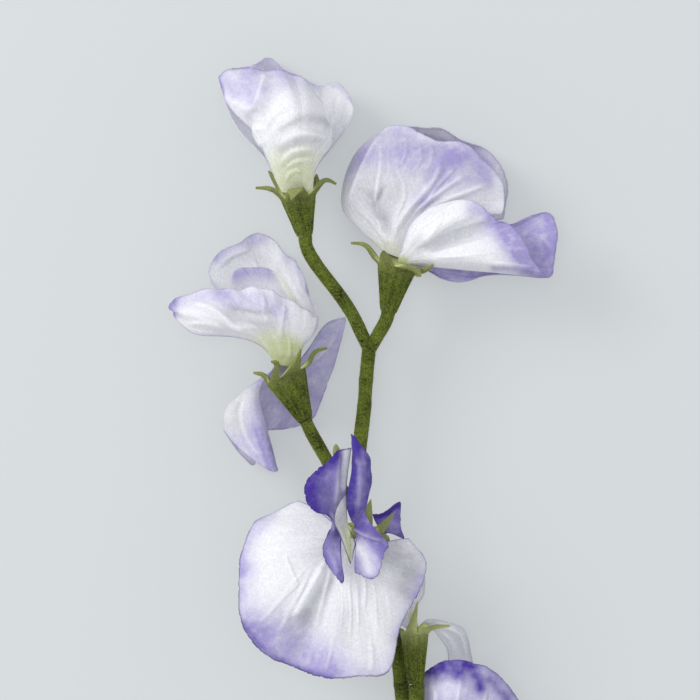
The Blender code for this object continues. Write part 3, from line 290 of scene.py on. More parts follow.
# name: base middle and radius, rim middle and its radius across and deep, then for each tooth its
# turn round the rim in degrees (0 right, 90 up) and the points that it runs through.
CALYXES = {
    "calyx_1": ((-11.3, 28.6, 0), 1.95, (-12.9, 38, 0), (4.3, 4.2), [
        (0, (-7.3, 40.6, 0), (-5.8, 42, 0), (-3.6, 41.2, 0.3)),
        (105, (-13.8, 39.4, 5.6), (-14.6, 37.2, 6.6)), (180, (-19.8, 39.6, 0), (-23.6, 40.2, 0.5)),
        (235, (-18.2, 41.5, -5), (-20.5, 44.6, -6)), (300, (-8.6, 41.2, -4.6), (-8.2, 44, -5))]),
    "calyx_2": ((9.6, 9.7, 0), 2.1, (11.8, 20.6, 0), (4.9, 4.7), [
        (20, (18.2, 19.2, 4.6), (21, 21.1, 7.6)), (70, (15.8, 19.9, 6.4), (17.6, 18.2, 7)),
        (128, (8.4, 23.4, 4.4), (8.2, 24.9, 4.6)),
        (180, (5.2, 23.4, -0.5), (3.4, 25.8, -1), (0.2, 26.4, -1)),
        (265, (11.3, 23.6, -5.6), (11.6, 25.6, -6.4))]),
    "calyx_3": ((-11.2, -17.4, 0), 1.95, (-16, -6.6, 0), (5.2, 4.5), [
        (0, (-9.6, -3.2, 0), (-8.4, -0.9, 0), (-5.6, 0.2, 0.3)),
        (80, (-13.4, -3.4, 6.4), (-12.2, 0.2, 8)), (140, (-18.6, -4.2, 6), (-19.8, -3.2, 6.8)),
        (185, (-22, -6.8, 1), (-24.2, -6, 1.6)), (265, (-16.4, -7.4, -5.4), (-16.4, -8.6, -6.2))]),
    "calyx_4": ((1.1, -49.6, 2.6), 1.8, (2.7, -46, 7.4), (4, 3.8), [
        (15, (8.2, -47.4, 6.8), (9.6, -48.6, 6)), (90, (1.8, -51, 10.6), (2, -53.4, 10)),
        (180, (-2.6, -44.6, 8.6), (-4.6, -44.4, 8.4)), (270, (4.6, -41.6, 7.4), (5.3, -37.1, 9)),
        (325, (8.6, -44.4, 7.6), (10.9, -40.8, 9))]),
    "calyx_5": ((16.4, -83.5, 3.2), 1.85, (16.2, -71.2, 3.2), (3.3, 3.3), [
        (0, (21, -69.9, 3.2), (25, -69.3, 3.6)), (50, (18.7, -69.4, 6.4), (19.4, -69.4, 7.4)),
        (110, (15.9, -67.5, 6.2), (16.8, -62.8, 6.2)), (180, (12.1, -70.6, 2.6), (10.9, -70.6, 2.2)),
        (270, (16, -69.3, -1.6), (16.2, -68.2, -2.8))]),
    "calyx_6": ((21.7, -127.2, 0), 2.0, (24.6, -119.6, 0.3), (4.4, 4.3), [
        (0, (30.2, -121.8, 0.3), (32.4, -124, 0.6)), (80, (26.4, -117.8, 6.4), (27.4, -116.8, 8.6)),
        (140, (21, -115.6, 4), (18.6, -114.6, 5)), (205, (19.6, -115.6, -2.4), (16.6, -116.4, -3.4)),
        (275, (25.4, -116.2, -5.4), (26, -114, -6.4))]),
}

# name: radius and route.
STEMS = {
    "main_stem": (1.75, [
        (5, 2.6, 0), (4.6, -1.6, 0), (4, -8, 0), (3.6, -14, 0), (2.8, -21, 0), (2.2, -28, 0),
        (2.2, -36, 0), (3.6, -46, 0), (6.6, -57, 0), (9.8, -67, 0), (12, -77, 0), (13.2, -87, -0.6),
        (14.2, -101, -2.6), (14.8, -120, -6.2), (14.2, -142, -11), (12.8, -163, -15.2),
        (11.8, -176, -16.2), (11, -188, -16.2)]),
    "pedicel_1": (1.65, [
        (3, 3.8, 0), (0.6, 8.8, 0.4), (-3.3, 14.6, 0.5), (-7.2, 19.6, 0.3), (-10.5, 24.8, 0),
        (-11.2, 28, 0)]),
    "pedicel_2": (1.65, [(7, 3.8, 0), (8.4, 6.2, 0), (9.2, 8, 0), (9.48, 9.1, 0)]),
    "pedicel_3": (1.6, [
        (-1.8, -35.2, 0), (-3.8, -31.4, 0.9), (-5.8, -27.6, 1.3), (-8, -23.7, 1.1), (-9.9, -20.3, 0.3),
        (-10.96, -17.95, 0)]),
    "pedicel_4": (1.35, [
        (6.6, -69, 0), (4.4, -62, 0), (2.2, -56, 0.1), (0.9, -52.3, 0.7), (0.9, -50.3, 1.8)]),
    "pedicel_5": (1.7, [(15.7, -99.5, 1.9), (16.3, -94, 2.9), (16.7, -89, 3.2), (16.65, -84.1, 3.2)]),
    "pedicel_6": (1.65, [
        (18.6, -142, -9.8), (19.2, -136.6, -5.4), (20.4, -131.4, -1.2), (21.49, -127.76, 0)]),
}

# Where in the main stem each flower stalk starts, so that it grows out of it.
STALK_ROOTS = {
    "pedicel_1": (4.9, 0.2, 0), "pedicel_2": (5.1, 0.4, 0), "pedicel_3": (2, -41, -0.2),
    "pedicel_4": (9.6, -74, -0.2), "pedicel_5": (14.4, -106, -2.4), "pedicel_6": (14.9, -148, -12),
}

# Swollen rings on a stem: where, how much of the stem's radius they add, and their reach in mm.
RINGS = {
    "main_stem": (((12.9, -83.6, -0.3), 0.07, 0.6), ((13.1, -86, -0.4), 0.08, 3.2)),
    "pedicel_5": (((16.6, -84, 3.2), 0.07, 0.6), ((16.6, -86, 2.8), 0.08, 3.2)),
}
# Small bracts that grow from a stem: radius and route.
BRACTS = {"pedicel_3": (1.05, [(-3, -28, 2), (-3.3, -25.8, 3), (-3.6, -23.6, 4)])}

# How fast a calyx's teeth narrow: over 1 gives slender hooks, under 1 leaf-shaped teeth.
TOOTH_SHARPNESS = {"calyx_1": 0.6, "calyx_2": 0.5, "calyx_3": 1.2, "calyx_4": 0.45, "calyx_5": 0.8}
# How pale the outside of a calyx's teeth is, 0 to 1.
PALE_TEETH = {"calyx_5": 0.38, "calyx_4": 0.25}

# How each petal is cut, coloured and creased. grid is its columns and rows. Colour is laid on in
# masks from 0 to 1: lilac, violet and cream are dye, and the grey mask is painted shade, which
# darkens creases, hollows, the backs of folds and sheer cloth that the floor shows through, while
# negative amounts take painted shade off and so lighten a place. "all" covers the petal, "rim" is
# (amount, reach in mm) from the cut edge, "foot" is (amount, how far up the petal), and a wash is a
# soft brush stroke: (amount, width in mm, points). "line" is the strength of the dark line along the
# cut. A crease is (height in mm, width on the left of its line, width on the right, points): a bell
# across the line, steep on the narrow side, whose ridge gets a painted highlight that takes off some
# dye and painted shade. "ruffle" is (height in mm, waves along the edge, phase), "pleats" the height
# of the fine pleats and "fringe" how ragged the cut is. "slit" is the route of a thin dark tube on
# the petal.
LOOKS = {
    "standard_1": dict(
        slot="petal_lilac", grid=(150, 100), all=dict(lilac=0.02), foot=dict(cream=(0.5, 0.3)),
        rim=dict(lilac=(0.12, 1.5)), line=0.2, pleats=0.05, ruffle=(0.5, 5, 0.3),
        washes=dict(
            lilac=[(0.32, 3.2, (-30, 70), (-24, 71.5), (-18, 71)), (0.3, 1.6, (-14, 69), (-9, 66.5))],
            violet=[(0.2, 0.8, (-4, 66), (-1.5, 65), (0.3, 62.5))]),
        creases=[
            (0.5, 0.6, 1.2, (-26, 68.5), (-25, 70.2), (-24.5, 71.5)),
            (0.6, 1.0, 0.6, (-6.5, 55), (-3.5, 59.5), (-3, 65)),
            (0.4, 0.8, 0.8, (-5, 53), (-1.5, 57), (0, 60))]),
    "wing_left_1": dict(
        slot="petal_lilac", grid=(90, 90), all=dict(lilac=0.1), rim=dict(lilac=(0.12, 2)),
        foot=dict(cream=(0.4, 0.35)), line=0.1, pleats=0.04, ruffle=(0.3, 2, 0.1)),
    "wing_right_1": dict(
        slot="petal_white", grid=(190, 190), all=dict(lilac=0.0), rim=dict(lilac=(0.25, 1.2)),
        foot=dict(cream=(0.6, 0.42)), line=0.55, pleats=0.05, ruffle=(0.5, 6, 0.5), fringe=1.4,
        washes=dict(
            lilac=[
                (0.55, 3.6, (-32.5, 66.5), (-28, 65.5), (-25.5, 66)),
                (0.45, 1.7, (-26, 69.5), (-19, 69.5), (-14, 68.5)),
                (0.28, 2.2, (-24, 62), (-18, 66), (-13, 66))],
            # painted shade: shadows along the bulges and in the creases
            painted_shade=[
                (0.6, 1.3, (-16.5, 55.6), (-13, 57.4), (-8, 57.6), (-6, 56.5)),
                (0.4, 1.5, (-21.6, 66), (-20.6, 62.6), (-22, 60)),
                (0.35, 1.0, (-23.6, 60), (-25.2, 58.2), (-24, 54)),
                (0.5, 1.6, (-17, 50.4), (-13.6, 52.6), (-9, 53)),
                (0.3, 0.8, (-16.6, 46), (-14, 48.6), (-10.5, 48.9))],
            cream=[(0.22, 2.2, (-12, 49), (-8, 49))]),
        creases=[
            (1.2, 0.5, 2.4, (-31.5, 65), (-29, 62.6), (-25.5, 60.8), (-23.4, 61)),
            (0.9, 0.7, 1.8, (-24, 60.5), (-22.8, 64), (-21.8, 67), (-21.4, 70)),
            (0.9, 1.6, 0.6, (-23.6, 57), (-23.4, 53.5), (-21.8, 50)),
            (0.45, 1.8, 0.7, (-21.6, 53), (-19.8, 57.5), (-16, 60.6), (-12, 61.5)),
            (0.4, 1.2, 0.8, (-20.4, 50), (-19, 54.2), (-15.4, 57.2), (-11.9, 58.8)),
            (1.2, 0.6, 2.4, (-18.4, 49.4), (-15.9, 52.9), (-11.9, 54.4), (-7, 53.4), (-5, 53.6)),
            (0.6, 0.5, 1.5, (-17.6, 45.6), (-15.6, 48.8), (-12.5, 50.3), (-8.4, 50.1)),
            (0.4, 0.4, 0.9, (-16.4, 44.8), (-13.8, 47.2), (-10.4, 47.6), (-9.2, 46.6)),
            (0.3, 0.4, 0.6, (-15.8, 41.6), (-15.2, 44), (-13.2, 45), (-12.2, 43.6)),
            (-0.4, 0.5, 0.5, (-17.6, 62), (-14.6, 58.4))]),
    "keel_1": dict(slot="petal_cream", grid=(40, 50), all=dict(cream=0.2), foot=dict(cream=(0.9, 0.4))),
    "standard_2": dict(
        slot="petal_lilac", grid=(300, 130), all=dict(lilac=0.02, painted_shade=0.55),
        rim=dict(lilac=(0.12, 1.5), painted_shade=(-0.5, 4)), foot=dict(cream=(0.3, 0.16), painted_shade=(-0.2, 0.5)),
        line=0.45, pleats=0.07, ruffle=(0.5, 9, 0.2),
        washes=dict(
            lilac=[
                (0.55, 3.2, (13, 51.5), (18, 50), (21, 46)), (0.62, 3.2, (24, 50), (29, 49.4), (33, 46)),
                (0.6, 2.6, (26, 48), (24, 44.5), (20.5, 40), (18, 37)),
                (0.35, 3.0, (28, 42.5), (34, 42.5)), (0.5, 3.2, (4.5, 48.5), (9, 48.5), (14.5, 46.5)),
                (0.35, 1.8, (0, 43), (4.5, 50.5), (9, 54), (15, 55))],
            # painted shade in a fold; negative strokes take painted shade off the back layer's rim and
            # the middle, so they look lit
            painted_shade=[
                (0.5, 1.4, (6, 38.5), (7.4, 34.8), (10, 30)),
                (-0.45, 3.2, (24, 38.5), (32, 38.5), (37, 37)),
                (-0.45, 1.5, (15, 55), (21, 54.8), (28, 51.6), (34, 46.6), (37.6, 40)),
                (-0.35, 2.0, (10.4, 28), (13.4, 35), (17.5, 40))]),
        creases=[
            (0.9, 0.5, 1.3, (10.6, 25.5), (12, 31), (15.2, 36), (18.8, 40), (21.6, 44.2), (22.6, 50)),
            (0.4, 0.7, 0.4, (10, 25.5), (11.4, 32), (13.8, 38.8), (12.6, 43.4), (11, 48)),
            (0.35, 0.3, 0.6, (12.5, 46), (13.8, 49.1), (13.7, 53.4)),
            (0.3, 0.5, 0.3, (15.6, 44.5), (17.8, 48), (16.8, 53)),
            (0.6, 0.4, 0.9, (8.8, 25.5), (7.6, 31), (6.5, 38), (7.6, 46), (7.2, 53)),
            (0.7, 0.5, 1.0, (-0.4, 36), (1.5, 41.8), (5.3, 49.7), (8, 53.6)),
            (-0.6, 0.7, 1.0, (9.4, 28), (7.6, 32), (6.4, 36), (8.2, 39.4), (8.4, 42)),
            (0.55, 0.4, 0.8, (15.8, 34), (19.9, 37.6), (24.7, 41.2), (30.1, 44.4)),
            (0.5, 0.4, 0.8, (17, 33.6), (22.9, 37), (28.9, 39.4), (35, 41.8)),
            (0.4, 0.6, 0.35, (18.6, 36), (22.5, 41.5), (27.6, 46.8)),
            (0.4, 0.35, 0.5, (5.3, 34), (8.4, 29.7), (9.3, 25.5)),
            (0.35, 0.3, 0.5, (2.2, 36), (6, 31.5), (8.6, 27.5)),
            (0.3, 0.4, 0.3, (19.4, 45), (20.6, 48.6), (20.2, 51.5)),
            (0.3, 0.4, 0.3, (9.4, 42.5), (9.8, 46), (9, 51.5))]),
    "wing_right_2": dict(
        slot="petal_white", grid=(200, 150), rim=dict(lilac=(0.2, 1.2)), foot=dict(cream=(0.9, 0.14)),
        line=0.35, pleats=0.05, ruffle=(0.3, 5, 0.3), fringe=1.3,
        washes=dict(
            lilac=[
                (0.5, 3.4, (37, 32), (39.5, 30), (42, 26)), (0.72, 3.4, (43, 27), (46.5, 22), (48.5, 19)),
                (0.5, 2.2, (31, 35.5), (36, 33.5)), (0.5, 3.0, (37, 31), (41.5, 25), (44, 21))],
            violet=[(0.34, 0.9, (36, 20.6), (41, 20.2), (47.5, 18.8))],
            # painted shadow along the deep crease
            painted_shade=[(0.4, 1.5, (17.5, 24.6), (24, 27.6), (30.5, 30), (35, 31.5))]),
        creases=[
            (-1.7, 1.1, 2.0, (16.5, 23.6), (23.5, 27.3), (30.1, 29.8), (36.5, 31.8)),
            (0.8, 1.4, 1.0, (17, 25), (20.8, 29.2), (26, 32.6), (32, 34)),
            (0.35, 0.4, 0.4, (16, 27), (18.6, 31), (20.5, 34.5)),
            (0.35, 0.4, 0.4, (17.6, 27), (22, 31.4), (23.6, 35.6)),
            (0.3, 0.35, 0.4, (14.6, 25.6), (16.6, 29.4), (17.6, 32.6)),
            (0.3, 0.4, 0.5, (20, 24.4), (27, 26), (35, 28)),
            (0.3, 0.4, 0.5, (20, 23.2), (28, 23.6), (37, 24.6)),
            (0.4, 0.3, 0.9, (34, 22), (40, 21.6), (46, 20.8))]),
    "wing_left_2": dict(
        slot="petal_lilac", grid=(140, 100), all=dict(lilac=0.82), rim=dict(lilac=(0.15, 2)), line=0.4,
        pleats=0.03, ruffle=(0.3, 4, 0.2), fringe=1.3,
        washes=dict(violet=[(0.08, 2.5, (48, 20), (50, 26))]),
        creases=[(0.3, 2.5, 2.5, (44, 30), (48, 28), (51, 25))]),
    "keel_2": dict(slot="petal_cream", grid=(40, 50), all=dict(cream=0.1), foot=dict(cream=(0.8, 0.3))),
    "standard_3": dict(
        slot="petal_lilac", grid=(240, 110), all=dict(lilac=0.62), rim=dict(lilac=(0.1, 1)), line=0.3,
        foot=dict(painted_shade=(0.3, 0.4)), pleats=0.04, ruffle=(0.4, 8, 0.4),
        washes=dict(
            lilac=[
                (-0.7, 4.4, (-27.5, -11), (-29.5, -15), (-29, -18)),
                (0.45, 1.8, (-23, -20), (-21, -25), (-19.6, -28.6)),
                (-0.35, 1.2, (-26.8, -25.6), (-24.4, -28.5))],
            painted_shade=[(0.6, 4.0, (-25, -9), (-28, -14), (-28, -19))]),
        creases=[
            (0.7, 1.0, 1.6, (-25.6, -10.5), (-27.5, -15.5), (-26, -22), (-21.5, -28)),
            (0.5, 0.7, 0.5, (-9.6, -3), (-6.4, 0), (-3, 4.6))]),
    "wing_right_3": dict(
        slot="petal_white", grid=(200, 170), rim=dict(lilac=(0.35, 1.4)), foot=dict(cream=(0.95, 0.42)),
        line=0.45, pleats=0.07, ruffle=(0.5, 9, 0.1), fringe=1.5,
        washes=dict(
            lilac=[
                (0.4, 2.0, (-41, 12.6), (-36, 13.6), (-31, 14.4)),
                (0.42, 2.6, (-31, 13), (-27, 12.5), (-21, 12), (-17, 10)),
                (0.75, 1.5, (-44, 12.6), (-44.4, 8.6))],
            # painted shade in the hollow under the rolled edge
            painted_shade=[(0.55, 3.0, (-30, 10), (-25, 8.4), (-19, 8.6)), (0.25, 2.0, (-40, 7), (-32, 5.4))],
            violet=[(0.12, 0.9, (-44.2, 12.6), (-44.6, 10), (-43.8, 8.4))]),
        creases=[
            (1.3, 0.6, 1.8, (-41.5, 11.9), (-36.5, 11.2), (-33, 9.6), (-30, 7.2), (-27, 6), (-21, 5.4)),
            (-1.0, 1.6, 1.0, (-30, 11), (-26, 9), (-20, 9), (-16, 9.6)),
            (0.25, 0.6, 1.0, (-29.4, 14.4), (-27.4, 11), (-27, 7.4)),
            (0.3, 0.8, 0.5, (-21.6, 14.8), (-21.6, 10.4), (-20.2, 6)),
            (0.4, 0.4, 0.7, (-16, 12), (-17, 7), (-17.2, 2)),
            (0.3, 0.5, 0.6, (-17, -2.4), (-17.6, 1), (-19.4, 4.2)),
            (0.25, 0.45, 0.5, (-15, -2.6), (-15, 1), (-14.8, 5)),
            (0.35, 0.3, 0.35, (-19.2, -2.2), (-20.4, 0.6), (-22.6, 2.6)),
            (0.4, 0.5, 0.9, (-41.6, 6.4), (-36, 6.8), (-30, 5.2))]),
    "wing_left_3": dict(
        slot="petal_white", grid=(180, 150), rim=dict(lilac=(0.15, 1.4)), foot=dict(cream=(0.9, 0.35)),
        line=0.3, pleats=0.06, ruffle=(0.5, 7, 0.3), fringe=1.4,
        washes=dict(
            lilac=[
                (0.4, 1.8, (-33, 23), (-28, 26), (-22, 28)), (0.3, 1.4, (-16, 23), (-13, 20), (-11, 15))],
            painted_shade=[(0.08, 2.0, (-29, 18), (-24, 21), (-18, 20))]),
        creases=[
            (0.6, 1.2, 0.8, (-33.5, 20.5), (-29, 24), (-24, 26)),
            (0.8, 0.5, 1.4, (-19, 25.5), (-16, 19), (-13, 13.5), (-10.6, 9.6)),
            (0.5, 0.4, 0.9, (-15, 22.5), (-13.2, 17), (-10.4, 12)),
            (-0.3, 1.4, 1.4, (-28, 21), (-23, 22.6), (-18.6, 19.6)),
            (0.4, 0.5, 0.5, (-25, 25.5), (-23.6, 21.5), (-22.6, 18.6))]),
    "keel_3": dict(
        slot="petal_cream", grid=(90, 90), all=dict(lilac=0.12), foot=dict(cream=(0.9, 0.5)), pleats=0.05,
        line=0.1,
        washes=dict(
            lilac=[(0.6, 2.2, (-29, 19), (-24, 20), (-20, 20))],
            cream=[(0.55, 1.1, (-17.6, 19), (-15, 15.6), (-13.6, 12.4))]),
        creases=[(0.5, 0.5, 0.9, (-20, 20.5), (-17.4, 17.6), (-15.6, 13))]),
    "standard_4": dict(
        slot="petal_white", grid=(300, 150), all=dict(painted_shade=0.12), rim=dict(lilac=(0.2, 2.4)),
        foot=dict(cream=(0.3, 0.1)), line=1.2, pleats=0.1, ruffle=(0.5, 10, 0.2), fringe=1.5,
        washes=dict(
            lilac=[
                (0.42, 3.6, (-27, -56), (-27, -64), (-24, -71)),
                (0.6, 4.6, (-23, -72), (-16, -76.5), (-8, -80.5)),
                (0.38, 4.6, (-18, -69), (-10, -74), (-4, -78)),
                (0.2, 3.0, (-4, -80.5), (4, -80.5), (9, -78)),
                (0.5, 2.2, (12.4, -72), (15.6, -64), (18, -57)),
                (0.45, 2.6, (-27, -54), (-25.6, -47), (-21, -42))],
            violet=[(0.5, 0.8, (-26.5, -68.5), (-20, -76), (-10, -80.5), (-5, -82))],
            # painted shade on the right side, turned from the light, and beside the folds
            painted_shade=[
                (0.85, 4.2, (11, -50), (15, -54), (15, -60)),
                (0.6, 1.5, (-5.6, -58), (-9, -63), (-11.5, -68)), (0.25, 2.4, (-6, -49), (-9, -52)),
                (0.5, 2.6, (-12, -66), (-14, -71), (-13, -75)), (0.35, 2.2, (-1, -66), (-2, -72))]),
        creases=[
            (1.1, 1.6, 0.55, (-5.6, -52.4), (-8.8, -57), (-12.4, -63.2), (-15, -67.5)),
            (0.7, 0.9, 0.4, (-4.6, -53.4), (-6.2, -59), (-7.6, -65), (-9, -71)),
            (0.35, 0.3, 0.5, (-16.3, -51), (-14.8, -54.6), (-12.7, -59.4)),
            (0.3, 0.35, 0.5, (-9.5, -55), (-13, -61), (-17.5, -68.5)),
            (0.25, 0.35, 0.5, (-10.5, -54), (-15.5, -60), (-21.5, -67)),
            (0.35, 0.5, 0.35, (-10.5, -57), (-14.5, -64.5), (-18.6, -72)),
            (0.3, 0.4, 0.3, (-11, -56), (-17.5, -63), (-24, -69.5)),
            (0.4, 0.3, 0.35, (-2.2, -57), (-1.9, -64), (-2.6, -72)),
            (0.4, 0.3, 0.35, (-0.3, -57.5), (0.2, -65), (0, -74)),
            (0.35, 0.3, 0.3, (1.6, -57.5), (1.9, -64), (2.2, -71)),
            (0.7, 0.3, 0.55, (3.5, -56.6), (3.7, -60.6), (3.7, -65)),
            (0.2, 0.35, 0.4, (5.6, -57), (6.4, -63), (6.8, -71)),
            (0.15, 0.4, 0.5, (7.6, -56), (9.4, -62), (10.6, -70)),
            (0.2, 0.8, 0.8, (-7.5, -46.8), (-13, -45.6), (-19, -44)),
            (-0.9, 2.0, 1.6, (6.5, -50.6), (11, -53), (15.6, -56.5)),
            (0.4, 0.4, 0.6, (-4, -70), (-5, -76), (-6.4, -81)),
            (0.4, 0.4, 0.6, (5, -72), (5.6, -77), (5.4, -81))]),
    "wing_left_4": dict(
        slot="petal_purple", grid=(150, 100), all=dict(lilac=1, violet=0.7), line=1.1, pleats=0.03,
        ruffle=(0.25, 8, 0.2), fringe=2.2,
        washes=dict(
            violet=[
                (0.48, 2.0, (-4, -26), (-9, -30.5), (-11, -34.5), (-9.5, -39.5)),
                (-0.8, 1.7, (-0.9, -25.2), (-1.3, -30), (-1.7, -34)),
                (-0.55, 1.5, (-2, -34), (-3, -39), (-3.6, -42)), (-0.3, 2.4, (-4, -31.5), (-5.5, -37.5)),
                (-0.42, 2.4, (-4.6, -48), (-3.6, -53))],
            lilac=[(-0.95, 1.2, (-0.9, -25.2), (-1.2, -30), (-1.5, -34))]),
        creases=[
            (0.6, 0.5, 1.2, (-2.4, -25.5), (-3.2, -30), (-3.4, -35), (-4, -40)),
            (0.6, 0.8, 0.4, (-5, -39.5), (-4.4, -43), (-4.6, -46)),
            (0.3, 1.2, 0.7, (-6.2, -49.5), (-4.2, -52.5), (-3, -57))]),
    "wing_right_4": dict(
        slot="petal_purple", grid=(150, 100), all=dict(lilac=1, violet=0.68), line=1.1, pleats=0.03,
        ruffle=(0.25, 8, 0.5), fringe=2.0,
        washes=dict(
            violet=[
                (0.5, 1.6, (0.6, -22), (1.2, -28), (0, -34), (0, -40)),
                (0.25, 1.2, (4.2, -28), (5, -32), (4.6, -38)),
                (-0.72, 3.0, (3, -49.5), (5, -52), (5.5, -55)), (-0.25, 1.4, (5.5, -50.5), (6, -54)),
                (-0.2, 1.2, (2.6, -26), (2.8, -32), (2.4, -38))],
            lilac=[(-0.8, 2.8, (2.4, -49.6), (3.8, -52.4), (4.2, -54.6))]),
        creases=[
            (0.9, 0.9, 0.35, (0, -43.6), (4, -46.4), (9, -47.8)),
            (0.5, 1.4, 0.8, (1.4, -24.5), (2.4, -30), (2.2, -36), (1.6, -42)),
            (0.2, 1, 1, (3.6, -48.5), (4.6, -52.6), (5, -56))]),
    "keel_4": dict(
        slot="petal_cream", grid=(80, 70), all=dict(lilac=0.15, painted_shade=0.35, cream=0.15),
        rim=dict(violet=(0.5, 0.4)), line=0.8, foot=dict(cream=(0.4, 0.3)), pleats=0.03,
        washes=dict(cream=[(0.8, 1.2, (-0.4, -45), (-0.2, -49), (0, -53))]),
        slit=[(-0.6, -44.2, 18.4), (0.6, -46.4, 18.2), (1.3, -48.4, 17.8), (0.9, -50.2, 17.6),
              (0.6, -52.6, 17.2)]),
    "rear_petal_4": dict(
        slot="petal_purple", grid=(90, 80), all=dict(lilac=1, violet=0.68), line=0.85, pleats=0.04,
        ruffle=(0.3, 3, 0.4), fringe=1.6,
        washes=dict(
            violet=[
                (0.35, 1.0, (5.6, -41.2), (8.4, -40.9), (12, -38.6)),
                (-0.4, 1.6, (8.6, -43.4), (11, -43.6))]),
        creases=[(0.5, 0.4, 0.8, (8, -45), (10, -42), (12, -39))]),
    "standard_5": dict(
        slot="petal_white", grid=(90, 80), all=dict(lilac=0.04), line=0.3, pleats=0.04,
        ruffle=(0.3, 4, 0.2)),
    "wing_right_5": dict(
        slot="petal_white", grid=(90, 130), line=0.3, pleats=0.05, ruffle=(0.2, 4, 0.2),
        foot=dict(cream=(0.5, 0.14)),
        washes=dict(painted_shade=[(-0.4, 0.8, (20, -67.4), (25.4, -68.4), (28.6, -71), (29.6, -77))]),
        creases=[
            (0.7, 0.4, 1.0, (21, -68.6), (25.4, -69.8), (28, -72.6), (29, -79)),
            (0.4, 0.5, 0.5, (22, -70.4), (24.8, -72.4), (26, -77))]),
    "wing_left_5": dict(
        slot="petal_lilac", grid=(50, 50), all=dict(lilac=0.3), line=0.3, pleats=0.04,
        ruffle=(0.2, 3, 0.2)),
    "keel_5": dict(slot="petal_cream", grid=(40, 40), all=dict(cream=0.3)),
    "standard_6": dict(
        slot="petal_purple", grid=(190, 140), all=dict(violet=0.2, lilac=0.45),
        rim=dict(violet=(0.35, 2.0)), foot=dict(cream=(0.5, 0.2)), line=0.95, pleats=0.08,
        ruffle=(0.3, 8, 0.2),
        washes=dict(
            violet=[
                (0.7, 2.2, (21, -80.5), (24.5, -79.6), (27, -80.6)),
                (0.7, 1.5, (29.4, -79), (31.4, -81), (32.6, -84.5)),
                (0.5, 1.3, (35, -82.5), (38, -85.5), (39.6, -88)),
                (-0.35, 1.7, (18.6, -86), (23, -85), (27, -85))]),
        creases=[
            (0.5, 0.4, 0.5, (25, -110), (26, -95), (28, -80)),
            (0.5, 0.5, 0.4, (24, -110), (22, -95), (21, -82)),
            (0.5, 0.4, 0.5, (27, -110), (31, -96), (35, -83))]),
    "wing_right_6": dict(
        slot="petal_lilac", grid=(110, 90), all=dict(lilac=0.4), rim=dict(violet=(0.6, 3)), line=0.6,
        pleats=0.05, ruffle=(0.3, 5, 0.2)),
    "wing_left_6": dict(
        slot="petal_lilac", grid=(110, 90), all=dict(lilac=0.4), rim=dict(violet=(0.6, 3)), line=0.6,
        pleats=0.05, ruffle=(0.3, 5, 0.7)),
    "keel_6": dict(slot="petal_cream", grid=(40, 40), all=dict(cream=0.2)),
}


# ---------------------------------------------------------------- shapes

def spline_weights(count, t):
    """Weights that read the natural cubic spline through `count` evenly spaced values at t in 0..1:
    on each span the values are mixed in a straight line, plus cubic terms times the spline's second
    differences, which solve (1, 4, 1) rows against six times the values' own second differences."""
    t = np.clip(np.asarray(t, float), 0, 1) * (count - 1)
    if count == 2:
        return np.stack([1 - t, t], 1)
    inner = np.arange(1, count - 1)
    slopes = np.eye(count)
    slopes[inner, inner - 1] = 1
    slopes[inner, inner] = 4
    slopes[inner, inner + 1] = 1
    bends = np.zeros((count, count))
    bends[inner, inner - 1] = 6
    bends[inner, inner] = -12
    bends[inner, inner + 1] = 6
    second = np.linalg.solve(slopes, bends)
    left = np.minimum(t.astype(int), count - 2)
    f = (t - left)[:, None]
    g = 1 - f
    value = np.eye(count)
    return (g * value[left] + f * value[left + 1]
            + (g ** 3 - g) / 6 * second[left] + (f ** 3 - f) / 6 * second[left + 1])


def spline_curve(points, steps):
    """The spline through the points, at evenly spaced steps."""
    return spline_weights(len(points), np.linspace(0, 1, steps)) @ np.array(points, float)


def placed(points):
    """Drawn millimetres to metres in the row's frame: undoes the eye's perspective, then shifts."""
    points = np.array(points, float)
    points[..., :2] *= 1 - points[..., 2:] / EYE_HEIGHT
    points -= (SPRAY_MIDDLE[0], SPRAY_MIDDLE[1], -REST_DEPTH)
    return points * MM


def unit(vectors):
    """Each vector at length one."""
    return vectors / np.maximum(np.linalg.norm(vectors, axis=-1, keepdims=True), 1e-12)


def smooth_step(low, high, value):
    """0 below low, 1 above high, and 3t^2 - 2t^3 between."""
    t = np.clip((value - low) / (high - low), 0, 1)
    return t * t * (3 - 2 * t)


def value_noise(seed, places):
    """Smooth noise from -1 to 1 along one number: random values at whole numbers, eased between."""
    size = 4096
    table = np.random.default_rng(seed).uniform(-1, 1, size)
    cell = np.floor(places).astype(int)
    blend = smooth_step(0, 1, places - cell)
    return table[cell % size] * (1 - blend) + table[(cell + 1) % size] * blend


def petal_grid(foot, rays, columns, rows):
    """The petal's middle sheet, columns x rows: natural splines across the rays and along them."""
    rays = np.array(rays, float)
    knots = np.concatenate([spline_curve(foot, len(rays))[:, None], rays], 1)
    across = spline_weights(knots.shape[0], np.linspace(0, 1, columns))
    along = spline_weights(knots.shape[1], np.linspace(0, 1, rows))
    return np.einsum("cr,rpk,vp->cvk", across, knots, along)


def sheet_normals(sheet):
    """Unit normals of a grid: the cross product of its differences across and along."""
    return unit(np.cross(np.gradient(sheet, axis=0), np.gradient(sheet, axis=1)))


